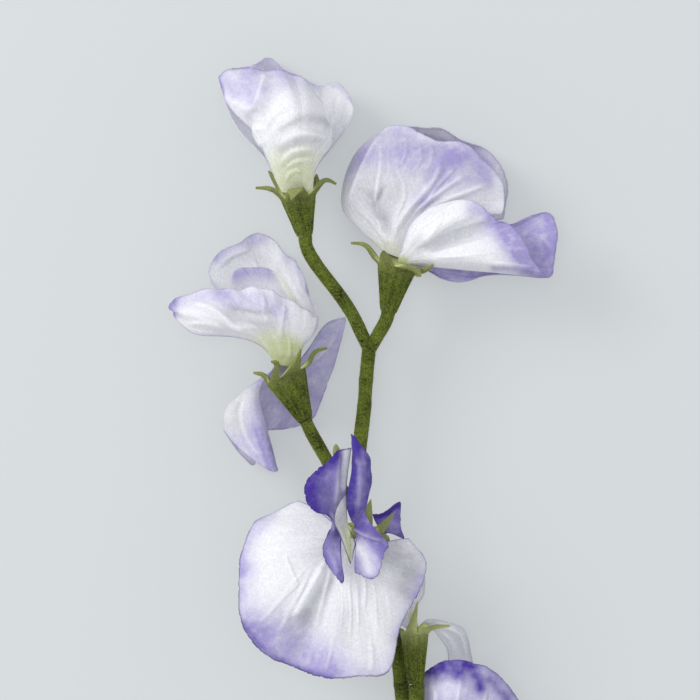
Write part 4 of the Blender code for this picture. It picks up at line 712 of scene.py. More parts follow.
def line_place(sheet, points):
    """Where each point of a sheet lies beside a smooth line through the points, seen from above: its
    distance, +1 left of the line or -1 right of it, and how far along the line it is, 0..1."""
    line = spline_curve(points, 8 * len(points))
    run = np.diff(line, axis=0)
    away = sheet[..., None, :2] - line[:-1]
    share = np.clip((away * run).sum(-1) / (run ** 2).sum(-1), 0, 1)
    gap = away - share[..., None] * run
    distance = np.hypot(gap[..., 0], gap[..., 1])
    nearest = distance.argmin(-1)[..., None]
    cross = run[:, 0] * away[..., 1] - run[:, 1] * away[..., 0]
    side = np.sign(np.take_along_axis(cross, nearest, -1))[..., 0]
    along = (nearest[..., 0] + np.take_along_axis(share, nearest, -1)[..., 0]) / len(run)
    return np.take_along_axis(distance, nearest, -1)[..., 0], side, along


def petal_relief(look, sheet, u, v, seed):
    """How far the sheet stands proud, in mm, and how much painted highlight each point gets along a
    crease's ridge, 0..1. A crease is exp(-(d/w)^2) of the distance d from its line, w being its
    width on that side, and fades at both ends. The ruffle is a wave that grows with the fourth power
    of the way to the cut edge, and pleats are noise across the petal."""
    height = np.zeros_like(u)
    ridge_highlight = np.zeros_like(u)
    for rise, left, right, *points in look.get("creases", ()):
        distance, side, along = line_place(sheet, points)
        width = np.where(side > 0, left, right)
        ends = smooth_step(0, 0.25, along) * (1 - smooth_step(0.75, 1, along))
        height += rise * np.exp(-(distance / width) ** 2) * ends
        # The painted highlight along the crease's ridge: a narrow bell at its line.
        highlight_term = np.exp(-(distance / min(left, right, RIDGE_WIDTH)) ** 2) * ends
        ridge_highlight += np.clip(rise / FULL_CREASE, -1, 1) * highlight_term
    rise, waves, phase = look.get("ruffle", (0, 1, 0))
    wander = value_noise(seed, u * waves * 2 + 7)
    height += rise * v ** 4 * (np.sin(2 * np.pi * (waves * u + phase)) + wander) * 0.6
    fade = smooth_step(0.02, 0.25, v) * (1 - 0.4 * v)
    drift = 0.4 * value_noise(seed + 3, v * 5)
    coarse, fine = (value_noise(seed + 1 + k, u * count + drift) for k, count in enumerate(PLEATS))
    folds = coarse + 0.6 * fine
    return height + look.get("pleats", 0) * fade * folds, np.clip(ridge_highlight, 0, 1)


def petal_masks(look, sheet, u, v):
    """Colour masks of a petal, each 0..1: the whole, the rim, the foot and the washes are added."""
    length = np.linalg.norm(np.diff(sheet, axis=1), axis=2).sum(1).mean()
    width = np.linalg.norm(np.diff(sheet, axis=0), axis=2).sum(0)[None, :]
    side = np.minimum(u, 1 - u) * width
    edge = np.where(v < 0.15, (1 - v) * length, np.minimum((1 - v) * length, side))
    # lilac, violet and cream are dye; the grey mask is painted shade.
    masks = {name: np.full_like(u, look.get("all", {}).get(name, 0.0))
             for name in ("lilac", "violet", "cream", "painted_shade")}
    for name, (amount, reach) in look.get("rim", {}).items():
        masks[name] += amount * (1 - smooth_step(0, reach, edge))
    for name, (amount, reach) in look.get("foot", {}).items():
        masks[name] += amount * (1 - smooth_step(reach * 0.3, reach, v))
    for name, strokes in look.get("washes", {}).items():
        for amount, reach, *points in strokes:
            masks[name] += amount * np.exp(-(line_place(sheet, points)[0] / reach) ** 2)
    masks["line"] = look.get("line", 0) * np.exp(-(edge / CUT_LINE) ** 2)
    return {name: np.clip(mask, 0, 1) for name, mask in masks.items()}


def flat_pattern(sheet):
    """The petal's flat cutting pattern: a fan whose radius is the length along the petal and whose
    angle is the share across it, so a straight weave on it runs straight through the cloth."""
    steps = np.linalg.norm(np.diff(sheet, axis=1), axis=2)
    radius = np.concatenate([np.zeros((len(sheet), 1)), np.cumsum(steps, 1)], 1)
    margin = np.linalg.norm(np.diff(sheet[:, -1], axis=0), axis=1).sum()
    spread = min(margin / radius[:, -1].mean(), WIDEST_FAN)
    angle = (np.linspace(0, 1, len(sheet))[:, None] - 0.5) * spread
    return np.stack([radius * np.sin(angle), radius * np.cos(angle)], -1)


def grid_faces(columns, rows, closed=False):
    """Quads of a grid of vertices numbered row by row up each column; closed joins the last column
    to the first one."""
    i = np.arange(columns if closed else columns - 1)[:, None]
    j = np.arange(rows - 1)[None, :]
    here, there = i * rows, ((i + 1) % columns) * rows
    return np.stack([here + j, there + j, there + j + 1, here + j + 1], -1).reshape(-1, 4)


def thick_sheet(sheet, thickness):
    """A grid made solid: one copy on each side of it, half the thickness off, and a band of quads
    round the border. Returns the vertices and the quads."""
    columns, rows = sheet.shape[:2]
    offset = sheet_normals(sheet) * thickness / 2
    vertices = np.concatenate([(sheet + offset).reshape(-1, 3), (sheet - offset).reshape(-1, 3)])
    front = grid_faces(columns, rows)
    back = front[:, ::-1] + columns * rows
    number = np.arange(columns * rows).reshape(columns, rows)
    border = np.concatenate([number[:-1, 0], number[-1, :-1], number[:0:-1, -1], number[0, :0:-1]])
    after = np.roll(border, -1)
    band = np.stack([after, border, border + columns * rows, after + columns * rows], -1)
    return vertices, np.concatenate([front, back, band])


def calyx_grid(base, base_radius, rim, rim_radii, teeth, turn, rise, sharpness):
    """A calyx's outer sheet: turn 0..1 runs round it; rise is 0 at the base's middle, 1 at its edge,
    2 at the rim and 3 at the tips. The radius grows with a power of the height. A tooth follows
    a spline from the rim through its own points; a column beside the middle of the tooth stops
    short, by its distance to the power `sharpness`."""
    base, rim = np.array(base, float), np.array(rim, float)
    axis = unit(rim - base)
    right = unit(np.cross(axis, (0, 0, 1)))
    up = np.cross(right, axis)
    starts = np.radians([tooth[0] for tooth in teeth])
    order = np.append(starts, starts[0] + 2 * math.pi)
    place = turn * CALYX_TEETH
    near = np.floor(place + 0.5).astype(int)
    aside = np.abs(place - near) * 2
    angle = np.interp(place, np.arange(CALYX_TEETH + 1), order)
    level = np.clip(rise - 1, 0, 1)
    lift = np.clip(rise - 2, 0, 1)
    grow = np.clip(rise, 0, 1)

    def ring(at):
        flare = level ** CALYX_FLARE
        across, deep = (base_radius + (radius - base_radius) * flare for radius in rim_radii)
        middle = base + (rim - base) * level[..., None]
        return (middle + (grow * np.cos(at) * across)[..., None] * right
                + (grow * np.sin(at) * deep)[..., None] * up)

    wall = ring(angle)
    tooth_foot = ring(order[near])
    height = lift * np.maximum((1 - aside) ** sharpness, 0.03)
    reach = np.zeros_like(wall)
    for index in range(CALYX_TEETH):
        mine = (near % CALYX_TEETH) == index
        path = np.concatenate([tooth_foot[mine & (level >= 1)][:1],
                               np.array(teeth[index][1:], float)])
        reach[mine] = spline_weights(len(path), height[mine]) @ path
    narrowed = (wall - tooth_foot) * (1 - 0.3 * height)[..., None]
    return np.where((lift > 0)[..., None], reach + narrowed, wall), height


def tube(route, radii, sides):
    """Rings round a smooth curve through the route: a circle square to the curve at each step, its
    zero angle to the right of the way it runs. Returns rings x sides x 3 and the ring normals."""
    tangent = unit(np.gradient(route, axis=0))
    right = unit(np.cross(tangent, (0, 0, 1)))
    up = np.cross(right, tangent)
    angle = np.linspace(0, 2 * math.pi, sides, endpoint=False)
    normal = (np.cos(angle)[None, :, None] * right[:, None]
              + np.sin(angle)[None, :, None] * up[:, None])
    return route[:, None] + normal * np.asarray(radii)[..., None], normal


def closed_tube_mesh(rings):
    """Vertices and faces of a closed tube: quads between rings and a fan of triangles to the middle
    of each end, facing out."""
    count, sides = rings.shape[:2]
    vertices = np.concatenate([rings.reshape(-1, 3), rings[:1].mean(1), rings[-1:].mean(1)])
    i = np.arange(count - 1)[:, None] * sides
    j = np.arange(sides)[None, :]
    k = (j + 1) % sides
    quads = np.stack([i + j, i + sides + j, i + sides + k, i + k], -1).reshape(-1, 4)
    first, last = count * sides, count * sides + 1
    j, k = j.ravel(), k.ravel()
    start = np.stack([np.full(sides, first), j, k], -1)
    end = np.stack([np.full(sides, last), (count - 1) * sides + k, (count - 1) * sides + j], -1)
    return vertices, [quads[:, ::-1], start[:, ::-1], end[:, ::-1]]


def scatter(grid, normals, faces, per_area, seed):
    """Random places on a grid surface of quads, as many as its area times per_area."""
    rng = np.random.default_rng(seed)
    a, b, c, d = (grid[faces[:, k]] for k in range(4))
    area = (np.linalg.norm(np.cross(b - a, c - a), axis=1)
            + np.linalg.norm(np.cross(c - a, d - a), axis=1)) / 2
    count = int(area.sum() * per_area)
    pick = rng.choice(len(faces), count, p=area / area.sum())
    s, t = rng.random((2, count, 1))
    points = (1 - s) * ((1 - t) * a[pick] + t * d[pick]) + s * ((1 - t) * b[pick] + t * c[pick])
    return points, unit(normals[faces[pick]].mean(1))


def flock(grid, normals, faces, settings, share, seed):
    """Short fibres all over a grid: a slim closed spike of four triangles at each random place,
    leaning a random way. share is how much of the flock's full length they have."""
    points, normals = scatter(grid.reshape(-1, 3), normals.reshape(-1, 3), faces,
                              settings.flock_density / MM ** 2, seed)
    length, width = settings.flock_length * MM * share, settings.flock_width * MM
    rng = np.random.default_rng(seed + 1)
    count = len(points)
    lean = unit(normals + rng.normal(0, FLOCK_LEAN, (count, 3)))
    side = unit(np.cross(lean, rng.normal(0, 1, (count, 3))))
    other = np.cross(lean, side)
    long = (length * rng.uniform(*FLOCK_LENGTHS, count))[:, None]
    foot = points - normals * length * FLOCK_ROOT
    corners = [foot + (side * math.cos(a) + other * math.sin(a)) * width
               for a in (0, 2 * math.pi / 3, 4 * math.pi / 3)]
    vertices = np.stack([*corners, foot + lean * long], 1).reshape(-1, 3)
    first = np.arange(count)[:, None] * 4
    triangles = np.concatenate([first + np.array(t) for t in
                                ((0, 2, 1), (0, 1, 3), (1, 2, 3), (2, 0, 3))])
    return vertices, triangles


# ---------------------------------------------------------------- meshes and materials

def make_mesh(name, vertices, face_groups, attributes=None, maps=None):
    """One mesh object from vertices in metres, arrays of faces, point attributes and UV maps."""
    mesh = bpy.data.meshes.new(name)
    corners = np.concatenate([group.ravel() for group in face_groups])
    sizes = np.concatenate([np.full(len(group), group.shape[1]) for group in face_groups])
    starts = np.concatenate([[0], np.cumsum(sizes)[:-1]])
    mesh.vertices.add(len(vertices))
    mesh.vertices.foreach_set("co", np.asarray(vertices, np.float32).ravel())
    mesh.loops.add(len(corners))
    mesh.loops.foreach_set("vertex_index", corners.astype(np.int32))
    mesh.polygons.add(len(sizes))
    mesh.polygons.foreach_set("loop_start", starts.astype(np.int32))
    mesh.update(calc_edges=True)
    for key, values in (attributes or {}).items():
        layer = mesh.attributes.new(key, "FLOAT", "POINT")
        layer.data.foreach_set("value", np.asarray(values, np.float32).ravel())
    for key, places in (maps or {}).items():
        layer = mesh.uv_layers.new(name=key)
        layer.uv.foreach_set("vector", np.asarray(places, np.float32)[corners].ravel())
    mesh.shade_smooth()
    mesh.set_sharp_from_angle(angle=math.radians(SMOOTH_ANGLE))
    piece = bpy.data.objects.new(name, mesh)
    bpy.context.scene.collection.objects.link(piece)
    return piece


def flocked_mesh(name, vertices, face_groups, pale, spikes, triangles, spike_pale):
    """A mesh with its flock: "pale" lightens the cloth, and "fuzz" is 1 at each fibre's tip."""
    tips = np.tile((0, 0, 0, 1.0), len(spikes) // 4)
    attributes = {"pale": np.append(pale, np.full(len(spikes), spike_pale)),
                  "fuzz": np.append(np.zeros(len(vertices)), tips)}
    return make_mesh(name, np.concatenate([vertices, spikes]),
                     [*face_groups, triangles + len(vertices)], attributes)


def finish_piece(piece, node, material):
    """Dresses a piece, lets it ride on the spray and puts it in its frame node's place."""
    piece.data.materials.append(material)
    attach(piece, "root")
    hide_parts(node)


class Nodes:
    """A material's node tree, with short calls that add a node and link its inputs."""

    def __init__(self, name):
        self.material = bpy.data.materials.new(name)
        self.material.use_nodes = True
        self.tree = self.material.node_tree
        self.tree.nodes.clear()

    def add(self, kind, links=None, **settings):
        node = self.tree.nodes.new("ShaderNode" + kind)
        for key, value in settings.items():
            setattr(node, key, value)
        for key, value in (links or {}).items():
            if isinstance(value, bpy.types.NodeSocket):
                self.tree.links.new(value, node.inputs[key])
            else:
                node.inputs[key].default_value = value
        return node

    def math(self, operation, a, b, clamp=False):
        return self.add("Math", {0: a, 1: b}, operation=operation, use_clamp=clamp).outputs[0]

    def sum(self, a, b):
        return self.math("ADD", a, b)

    def times(self, a, b):
        return self.math("MULTIPLY", a, b)

    def mix(self, factor, a, b, blend="MIX"):
        return self.add("Mix", {0: factor, 6: a, 7: b}, data_type="RGBA",
                        blend_type=blend).outputs[2]

    def attribute(self, name):
        return self.add("Attribute", attribute_name=name).outputs["Fac"]

    def uv(self, name, scale):
        place = self.add("UVMap", uv_map=name).outputs[0]
        return self.add("Mapping", {"Vector": place, "Scale": scale}).outputs[0]

    def noise(self, place, scale, detail):
        return self.add("TexNoise", {"Vector": place, "Scale": scale, "Detail": detail}).outputs[0]

    def output(self, shader):
        self.add("OutputMaterial", {"Surface": shader})
        return self.material


def petal_material(settings):
    """Thin woven cloth: dye masks and a painted shade mask broken up by blotches and by streaks along
    the petal, a painted highlight along crease ridges, a plain weave in its bump and brightness, and
    light let through from behind."""
    n = Nodes("petal_cloth")
    objects = n.add("TexCoord").outputs["Object"]
    blotch = n.noise(objects, 260.0, 4.0)
    streak = n.noise(n.uv("fan", (46.0, 1.3, 1.0)), 1.0, 5.0)
    fine = n.noise(n.uv("fan", (150.0, 2.0, 1.0)), 1.0, 3.0)
    grain = n.noise(objects, 1700.0, 2.0)
    mottle = n.noise(objects, 620.0, 3.0)

    def swing(value, amount):
        return n.times(n.math("SUBTRACT", value, 0.5), amount)

    clouds = n.sum(swing(blotch, 0.8), swing(mottle, 0.7))
    brushed = n.sum(clouds, swing(streak, 0.8))

    def dye_and_shade_layer(under, mask_name, broken, highlight_strength):
        """The colour under, mixed towards a dye, or towards painted shade, as far as its mask says:
        patchy, and lifted off the crease ridges as a painted highlight.
        """
        amount = n.attribute(mask_name)
        patchy = n.math("ADD", amount, n.times(n.times(amount, 1.3), broken), clamp=True)
        # Painted highlight: the crease ridges lose part of this colour, so they look lit.
        highlight_term = n.math("SUBTRACT", 1.0, n.times(n.attribute("ridge_highlight"), highlight_strength))
        return n.mix(n.times(patchy, highlight_term), under, (*getattr(settings, mask_name), 1))

    # Painted shade first: the grey mask darkens creases, hollows and sheer cloth; the ridge highlight
    # takes most of it off.
    colour = dye_and_shade_layer((*settings.white, 1), "painted_shade", brushed, 0.7)
    colour = dye_and_shade_layer(colour, "lilac", brushed, 0.5)
    colour = dye_and_shade_layer(colour, "violet", n.times(clouds, 0.6), 0.2)
    colour = dye_and_shade_layer(colour, "cream", clouds, 0.2)
    cut = n.math("MULTIPLY", n.attribute("line"), n.sum(blotch, 0.35), clamp=True)
    colour = n.mix(cut, colour, (*settings.edge, 1))
    wave = {"Vector": n.uv("cloth", (1.0, 1.0, 1.0)), "Distortion": 0.6, "Detail": 1.0,
            "Scale": 2 * math.pi / 20 / settings.thread}   # a wave's period is 2 pi / 20 / scale
    warp, weft = (n.add("TexWave", wave, bands_direction=way).outputs["Fac"] for way in "XY")
    weave = n.times(n.sum(warp, weft), 0.5)
    shade = n.sum(n.sum(swing(weave, 0.12), swing(streak, 0.2)), n.sum(swing(grain, 0.34), 0.965))
    colour = n.mix(1.0, colour, shade, "MULTIPLY")
    relief = n.sum(n.sum(n.times(weave, 0.3), streak),
                   n.sum(n.times(fine, 0.8), n.times(mottle, 0.5)))
    bump = n.add("Bump", {"Strength": 0.7, "Distance": 0.0002, "Height": relief}).outputs[0]
    cloth = n.add("BsdfPrincipled", {
        "Base Color": colour, "Roughness": 0.82, "Specular IOR Level": 0.25, "Sheen Weight": 0.12,
        "Sheen Roughness": 0.5, "Normal": bump}).outputs[0]
    through = n.add("BsdfTranslucent", {"Color": colour, "Normal": bump}).outputs[0]
    return n.output(n.add("MixShader", {0: settings.glow, 1: cloth, 2: through}).outputs[0])


def green_material(name, settings):
    """Flocked green: coarse and fine mottling between a dark and a light green, paler fibre tips."""
    n = Nodes(name)
    dark, light, pale, tip = ((*colour, 1) for colour in (
        settings.dark, settings.light, settings.pale, settings.tip))
    objects = n.add("TexCoord").outputs["Object"]
    fine = n.noise(objects, 2300.0, 2.0)
    mottle = n.sum(n.times(n.noise(objects, 220.0, 3.0), 0.4), n.times(fine, 0.6))
    lit = n.add("MapRange", {"Value": mottle, "From Min": 0.36, "From Max": 0.66}).outputs[0]
    colour = n.mix(n.attribute("pale"), n.mix(lit, dark, light), pale)
    colour = n.mix(n.times(n.attribute("fuzz"), 0.85), colour, tip)
    bump = n.add("Bump", {"Strength": 0.8, "Distance": 0.0002, "Height": fine}).outputs[0]
    return n.output(n.add("BsdfPrincipled", {
        "Base Color": colour, "Roughness": 0.95, "Specular IOR Level": 0.1, "Sheen Weight": 0.22,
        "Sheen Roughness": 0.5, "Sheen Tint": tip, "Normal": bump}).outputs[0])


# ---------------------------------------------------------------- settings

def colour_property(name, text, value):
    """An RGB colour setting."""
    return bpy.props.FloatVectorProperty(
        name=name, description=text, subtype="COLOR", size=3, min=0, max=1, default=value)


class SweetPeaPetals(bpy.types.PropertyGroup):
    thickness: bpy.props.FloatProperty(
        name="Thickness", description="Thickness of the petal cloth", default=0.00028,
        unit="LENGTH", min=0.0001, max=0.0006, precision=5)
    thread: bpy.props.FloatProperty(
        name="Thread pitch", description="Distance between threads, in millimetres", default=0.34)
    fray: bpy.props.FloatProperty(
        name="Fray", description="How uneven the cut edge is, in millimetres", default=0.18)
    glow: bpy.props.FloatProperty(
        name="Glow", description="Share of light that passes through a petal", subtype="FACTOR",
        default=0.36, min=0, max=1)
    white: colour_property("White", "Undyed cloth", (0.93, 0.93, 0.955))
    # Painted shade: the tone that the grey mask lays in creases, hollows, the backs of folds and over
    # sheer cloth.
    painted_shade: colour_property("Grey", "Cloth thin enough to look grey", (0.60, 0.60, 0.64))
    lilac: colour_property("Lilac", "Lilac dye at full strength", (0.45, 0.40, 0.71))
    violet: colour_property("Violet", "Violet dye at full strength", (0.085, 0.045, 0.39))
    cream: colour_property("Cream", "Yellow green of the throat", (0.74, 0.79, 0.46))
    edge: colour_property("Edge", "Dark line along the cut", (0.07, 0.045, 0.22))


class SweetPeaStems(bpy.types.PropertyGroup):
    flock_length: bpy.props.FloatProperty(
        name="Flock length", description="Length of a flock fibre, in millimetres", default=0.42)
    flock_width: bpy.props.FloatProperty(
        name="Flock width", description="Half width of a flock fibre, in millimetres", default=0.045)
    flock_density: bpy.props.FloatProperty(
        name="Flock density", description="Fibres on each square millimetre", default=6.5)
    dark: colour_property("Dark green", "Shaded flock", (0.012, 0.016, 0.003))
    light: colour_property("Light green", "Lit flock", (0.12, 0.155, 0.022))
    pale: colour_property("Pale green", "Inside of the calyx and cut cloth", (0.62, 0.64, 0.30))
    tip: colour_property("Fibre tips", "Ends of the flock fibres", (0.56, 0.60, 0.20))


class SweetPeaStage(bpy.types.PropertyGroup):
    floor: colour_property("Floor", "Pale studio floor", (0.265, 0.277, 0.283))
    table: bpy.props.FloatProperty(
        name="Light table", description="How much the floor glows, which keeps shadows faint",
        default=1.24)
    sky: bpy.props.FloatProperty(
        name="Ambient", description="Strength of the even light from all sides", default=0.9)
    key: bpy.props.FloatProperty(
        name="Key light", description="Power of the large soft light", subtype="POWER", default=7.8)
    fill: bpy.props.FloatProperty(
        name="Fill light", description="Power of the light overhead", subtype="POWER",
        default=3.1)
    lens: bpy.props.FloatProperty(
        name="Lens", description="Focal length in millimetres", default=180.0)


# ---------------------------------------------------------------- operators

def build_petal(name, settings, material):
    """One petal: its spline sheet, raised by creases, ruffle and pleats, frayed at the cut edge,
    laid flat where it meets the floor, then made solid."""
    look = LOOKS[name]
    foot, rays = PETALS[name]
    columns, rows = look["grid"]
    seed = sum(ord(letter) * (k + 3) for k, letter in enumerate(name))
    u, v = np.meshgrid(np.linspace(0, 1, columns), np.linspace(0, 1, rows), indexing="ij")
    sheet = petal_grid(foot, rays, columns, rows)
    masks = petal_masks(look, sheet, u, v)
    normals = sheet_normals(sheet)
    if normals[..., 2].mean() < 0:
        normals = -normals
    height, masks["ridge_highlight"] = petal_relief(look, sheet, u, v, seed)
    sheet = sheet + normals * height[..., None]
    along = unit(np.gradient(sheet, axis=1))
    rng = np.random.default_rng(seed)
    ragged = rng.uniform(-1, 0.8, columns) ** 3 + 0.5 * value_noise(seed, np.arange(columns) / 5)
    ragged = ragged[:, None] * smooth_step(1 - 3 / rows, 1, v)
    sheet = sheet + along * (settings.fray * look.get("fringe", 1) * ragged)[..., None]
    pattern = flat_pattern(sheet)
    sheet = placed(sheet)
    sheet[..., 2] = np.maximum(sheet[..., 2], settings.thickness / 2)
    vertices, faces = thick_sheet(sheet, settings.thickness)
    vertices[:, 2] = np.maximum(vertices[:, 2], 0)
    attributes = {key: np.tile(mask.ravel(), 2) for key, mask in masks.items()}
    fan = np.stack([u, v], -1).reshape(-1, 2) + (seed % 17, 0)
    maps = {"fan": np.tile(fan, (2, 1)), "cloth": np.tile(pattern.reshape(-1, 2), (2, 1))}
    groups = [faces]
    if "slit" in look:
        # A thin dark tube along the slit line, given the dark cut-line colour.
        steps, sides = 30, 8
        taper = np.sin(np.linspace(0.15, 3, steps))[:, None] * np.ones(sides)
        rings, _ = tube(placed(spline_curve(look["slit"], steps)), SLIT_RADIUS * MM * taper, sides)
        thread, thread_faces = closed_tube_mesh(rings)
        groups += [group + len(vertices) for group in thread_faces]
        vertices = np.concatenate([vertices, thread])
        attributes = {key: np.append(mask, np.full(len(thread), 2.0 * (key == "line")))
                      for key, mask in attributes.items()}
        maps = {key: np.append(places, np.zeros((len(thread), 2)), 0)
                for key, places in maps.items()}
    piece = make_mesh("petal_" + name, vertices, groups, attributes, maps)
    finish_piece(piece, name, material)


class SWEETPEA_OT_petals(bpy.types.Operator):
    """Build every petal of the six blossoms"""
    bl_idname = "sweetpea.petals"
    bl_label = "Petals"

    def execute(self, context):
        settings = context.scene.sweetpea_petals
        cloth = petal_material(settings)
        for name in PETALS:
            build_petal(name, settings, cloth)
        return {"FINISHED"}


def build_calyx(name, settings, material):
    """One calyx: a thin cup with five curling teeth and flock outside."""
    base, base_radius, rim, rim_radii, teeth = CALYXES[name]
    seed = ord(name[-1]) * 31
    turn = np.linspace(0, 1, CALYX_COLUMNS, endpoint=False)
    base_steps, wall_steps, tooth_steps = CALYX_STEPS
    rise = np.concatenate([np.linspace(0.05, 1, base_steps), np.linspace(1, 2, wall_steps)[1:],
                           np.linspace(2, 3, tooth_steps)[1:]])
    turn, rise = np.meshgrid(turn, rise, indexing="ij")
    columns, rows = turn.shape
    sheet, height = calyx_grid(base, base_radius, rim, rim_radii, teeth, turn, rise,
                               TOOTH_SHARPNESS.get(name, 0.9))
    sheet = placed(sheet)
    count = turn.size
    outward = unit(np.cross(np.roll(sheet, -1, 0) - np.roll(sheet, 1, 0),
                            np.gradient(sheet, axis=1)))
    wall_rows = slice(10, 26)
    middle = sheet[:, wall_rows].mean(0)
    if (outward[:, wall_rows] * (sheet[:, wall_rows] - middle)).sum() < 0:
        outward = -outward
    ribs = np.cos(turn * CALYX_TEETH * 2 * math.pi * 2)
    body = smooth_step(1.0, 1.15, rise) * (1 - smooth_step(1.8, 2.2, rise))
    sheet = sheet + outward * (CALYX_RIB * MM * ribs * body)[..., None]
    wall = (CALYX_WALL + TOOTH_SWELL * smooth_step(0, 0.35, height)
            - TIP_THIN * smooth_step(0.6, 1, height)) * MM
    inner = sheet - outward * wall[..., None]
    vertices = np.concatenate([sheet.reshape(-1, 3), inner.reshape(-1, 3)])
    outer_faces = grid_faces(columns, rows, closed=True)
    foot = np.arange(columns) * rows
    next_foot = np.roll(foot, -1)
    tip, next_tip = foot + rows - 1, next_foot + rows - 1
    lip = np.stack([next_tip, tip, tip + count, next_tip + count], -1)
    hole = np.stack([foot, next_foot, next_foot + count, foot + count], -1)
    shell = np.concatenate([outer_faces, outer_faces[:, ::-1] + count, lip, hole])
    here, beside, above = sheet[0, 20], sheet[1, 20], sheet[0, 21]
    if np.cross(beside - here, above - here) @ outward[0, 20] < 0:
        shell = shell[:, ::-1]
    pale_out = PALE_TEETH.get(name, 0.14) * smooth_step(1.6, 2.4, rise)
    pale_in = 1 - 0.75 * smooth_step(0.05, 0.45, height)
    pale = np.concatenate([pale_out.ravel(), pale_in.ravel()])
    spikes, triangles = flock(sheet, outward, outer_faces, settings, 0.8, seed)
    piece = flocked_mesh("cup_" + name, vertices, [shell], pale, spikes, triangles, 0.1)
    finish_piece(piece, name, material)


class SWEETPEA_OT_calyxes(bpy.types.Operator):
    """Build the six flocked calyxes with their teeth"""
    bl_idname = "sweetpea.calyxes"
    bl_label = "Calyxes"

    def execute(self, context):
        settings = context.scene.sweetpea_stems
        green = green_material("calyx_flock", settings)
        for name in CALYXES:
            build_calyx(name, settings, green)
        return {"FINISHED"}


def build_stem(name, settings, material):
    """One stem or stalk: a round tube along a spline, a little uneven, with a collar where a calyx
    sits on it, cut square at its end and flocked all over."""
    radius, points = STEMS[name]
    seed = sum(map(ord, name))
    points = list(points)
    if name in STALK_ROOTS:
        points.insert(0, STALK_ROOTS[name])
        points.append(CALYXES["calyx_" + name[-1]][0])
    points = np.array(points, float)
    length = np.linalg.norm(np.diff(points, axis=0), axis=1).sum()
    t = np.linspace(0, 1, max(12, int(length / STEM_STEP)))
    route = spline_weights(len(points), t) @ points
    size, apart = STEM_BUMPS
    swell = 1 + size * value_noise(seed, t * length / apart)
    if name in STALK_ROOTS:
        size, reach = COLLAR
        swell = swell + size * np.exp(-((1 - t) * length / reach) ** 2)
    for ring, size, reach in RINGS.get(name, ()):
        swell = swell + size * np.exp(-(np.linalg.norm(route - ring, axis=1) / reach) ** 2)
    angle = np.linspace(0, 2 * math.pi, STEM_SIDES, endpoint=False)
    ribs = 1 + STEM_RIB * np.cos(5 * angle + 0.8)[None, :]
    rings, normals = tube(placed(route), radius * MM * swell[:, None] * ribs, STEM_SIDES)
    vertices, faces = closed_tube_mesh(rings)
    vertices[:, 2] = np.maximum(vertices[:, 2], 0)
    spikes, triangles = flock(rings, normals, faces[0], settings, 1, seed)
    spikes[:, 2] = np.maximum(spikes[:, 2], 0)
    pale = np.zeros(len(vertices))
    if name in BRACTS:
        width, bract = BRACTS[name]
        steps, sides = 24, 16
        taper = np.sqrt(np.clip(1 - np.linspace(-0.4, 0.98, steps) ** 2, 0, 1))[:, None]
        leaf, leaf_faces = closed_tube_mesh(
            tube(placed(spline_curve(bract, steps)), width * MM * taper * np.ones(sides), sides)[0])
        faces = [*faces, *(group + len(vertices) for group in leaf_faces)]
        vertices = np.concatenate([vertices, leaf])
        pale = np.append(pale, np.full(len(leaf), 0.3))
    piece = flocked_mesh("flocked_" + name, vertices, faces, pale, spikes, triangles, 0)
    finish_piece(piece, name, material)


class SWEETPEA_OT_stems(bpy.types.Operator):
    """Build the main stem and the six flower stalks"""
    bl_idname = "sweetpea.stems"
    bl_label = "Stems"

    def execute(self, context):
        settings = context.scene.sweetpea_stems
        green = green_material("stem_flock", settings)
        for name in STEMS:
            build_stem(name, settings, green)
        return {"FINISHED"}


def add_light(name, place, target, size, power, colour):
    """A square area light that faces the target."""
    data = bpy.data.lights.new(name, "AREA")
    data.size = size
    data.energy = power
    data.color = colour
    light = bpy.data.objects.new(name, data)
    light.location = place
    light.rotation_euler = (Vector(target) - Vector(place)).to_track_quat("-Z", "Y").to_euler()
    bpy.context.scene.collection.objects.link(light)


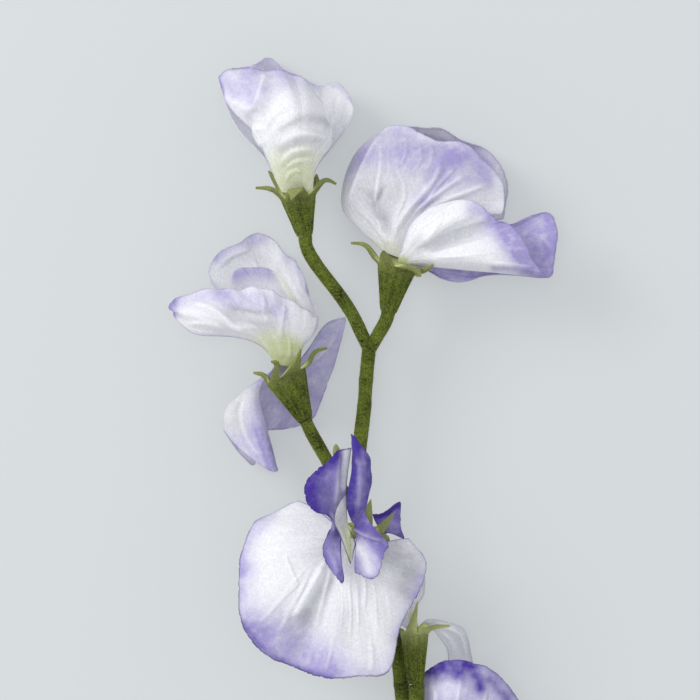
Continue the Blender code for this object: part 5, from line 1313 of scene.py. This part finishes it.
class SWEETPEA_OT_stage(bpy.types.Operator):
    """Build the pale floor, the soft lights and the camera that looks down on the spray"""
    bl_idname = "sweetpea.stage"
    bl_label = "Stage"

    def execute(self, context):
        scene = context.scene
        settings = scene.sweetpea_stage
        scene.view_settings.view_transform = "Standard"
        x, y = -SPRAY_MIDDLE[0] * MM, -SPRAY_MIDDLE[1] * MM
        n = Nodes("studio_floor")
        objects = n.add("TexCoord").outputs["Object"]
        grain = n.add("MapRange", {"Value": n.noise(objects, 6.0, 2.0), "To Min": 0.985,
                                   "To Max": 1.0}).outputs[0]
        tone = n.mix(1.0, (*settings.floor, 1), grain, "MULTIPLY")
        surface = n.add("BsdfPrincipled", {
            "Base Color": tone, "Roughness": 0.9, "Specular IOR Level": 0.1,
            "Emission Color": tone, "Emission Strength": settings.table}).outputs[0]
        corners = FLOOR_HALF * np.array([(-1, -1, 0), (1, -1, 0), (1, 1, 0), (-1, 1, 0)])
        floor = make_mesh("floor", corners, [np.array([[0, 1, 2, 3]])])
        floor.data.materials.append(n.output(surface))
        world = bpy.data.worlds.new("studio")
        world.use_nodes = True
        background = world.node_tree.nodes["Background"]
        background.inputs["Color"].default_value = (0.97, 0.985, 1.0, 1)
        background.inputs["Strength"].default_value = settings.sky
        scene.world = world
        target = (x, y, 0.02)
        key, fill = ((x + east, y + north, height)
                     for east, north, height in (KEY_PLACE, FILL_PLACE))
        add_light("key", key, target, 0.55, settings.key, (1, 0.985, 0.96))
        add_light("fill", fill, target, 0.35, settings.fill, (0.97, 0.985, 1))
        data = bpy.data.cameras.new("camera")
        data.lens = settings.lens
        data.sensor_width = settings.lens * VIEW_WIDTH / EYE_HEIGHT
        data.clip_end = 10
        camera = bpy.data.objects.new("camera", data)
        camera.location = (x, y, (EYE_HEIGHT + REST_DEPTH) * MM)
        scene.collection.objects.link(camera)
        scene.camera = camera
        return {"FINISHED"}


class SWEETPEA_PT_panel(bpy.types.Panel):
    """The spray's settings and steps"""
    bl_label = "Sweet pea"
    bl_idname = "SWEETPEA_PT_panel"
    bl_space_type = "VIEW_3D"
    bl_region_type = "UI"
    bl_category = "Sweet pea"

    def draw(self, context):
        layout = self.layout
        for group, step in (("sweetpea_petals", "sweetpea.petals"),
                            ("sweetpea_stems", "sweetpea.calyxes"),
                            ("sweetpea_stems", "sweetpea.stems"),
                            ("sweetpea_stage", "sweetpea.stage")):
            box = layout.box()
            box.operator(step)
            settings = getattr(context.scene, group)
            for key in settings.bl_rna.properties.keys():
                if key not in {"rna_type", "name"}:
                    box.prop(settings, key)


CLASSES = (SweetPeaPetals, SweetPeaStems, SweetPeaStage, SWEETPEA_OT_petals, SWEETPEA_OT_calyxes,
           SWEETPEA_OT_stems, SWEETPEA_OT_stage, SWEETPEA_PT_panel)


def register():
    for item in CLASSES:
        bpy.utils.register_class(item)
    bpy.types.Scene.sweetpea_petals = bpy.props.PointerProperty(type=SweetPeaPetals)
    bpy.types.Scene.sweetpea_stems = bpy.props.PointerProperty(type=SweetPeaStems)
    bpy.types.Scene.sweetpea_stage = bpy.props.PointerProperty(type=SweetPeaStage)


def unregister():
    for name in ("sweetpea_petals", "sweetpea_stems", "sweetpea_stage"):
        delattr(bpy.types.Scene, name)
    for item in reversed(CLASSES):
        bpy.utils.unregister_class(item)


def main():
    register()
    bpy.ops.sweetpea.stage()
    bpy.ops.sweetpea.stems()
    bpy.ops.sweetpea.calyxes()
    bpy.ops.sweetpea.petals()


if __name__ == "__main__":
    main()
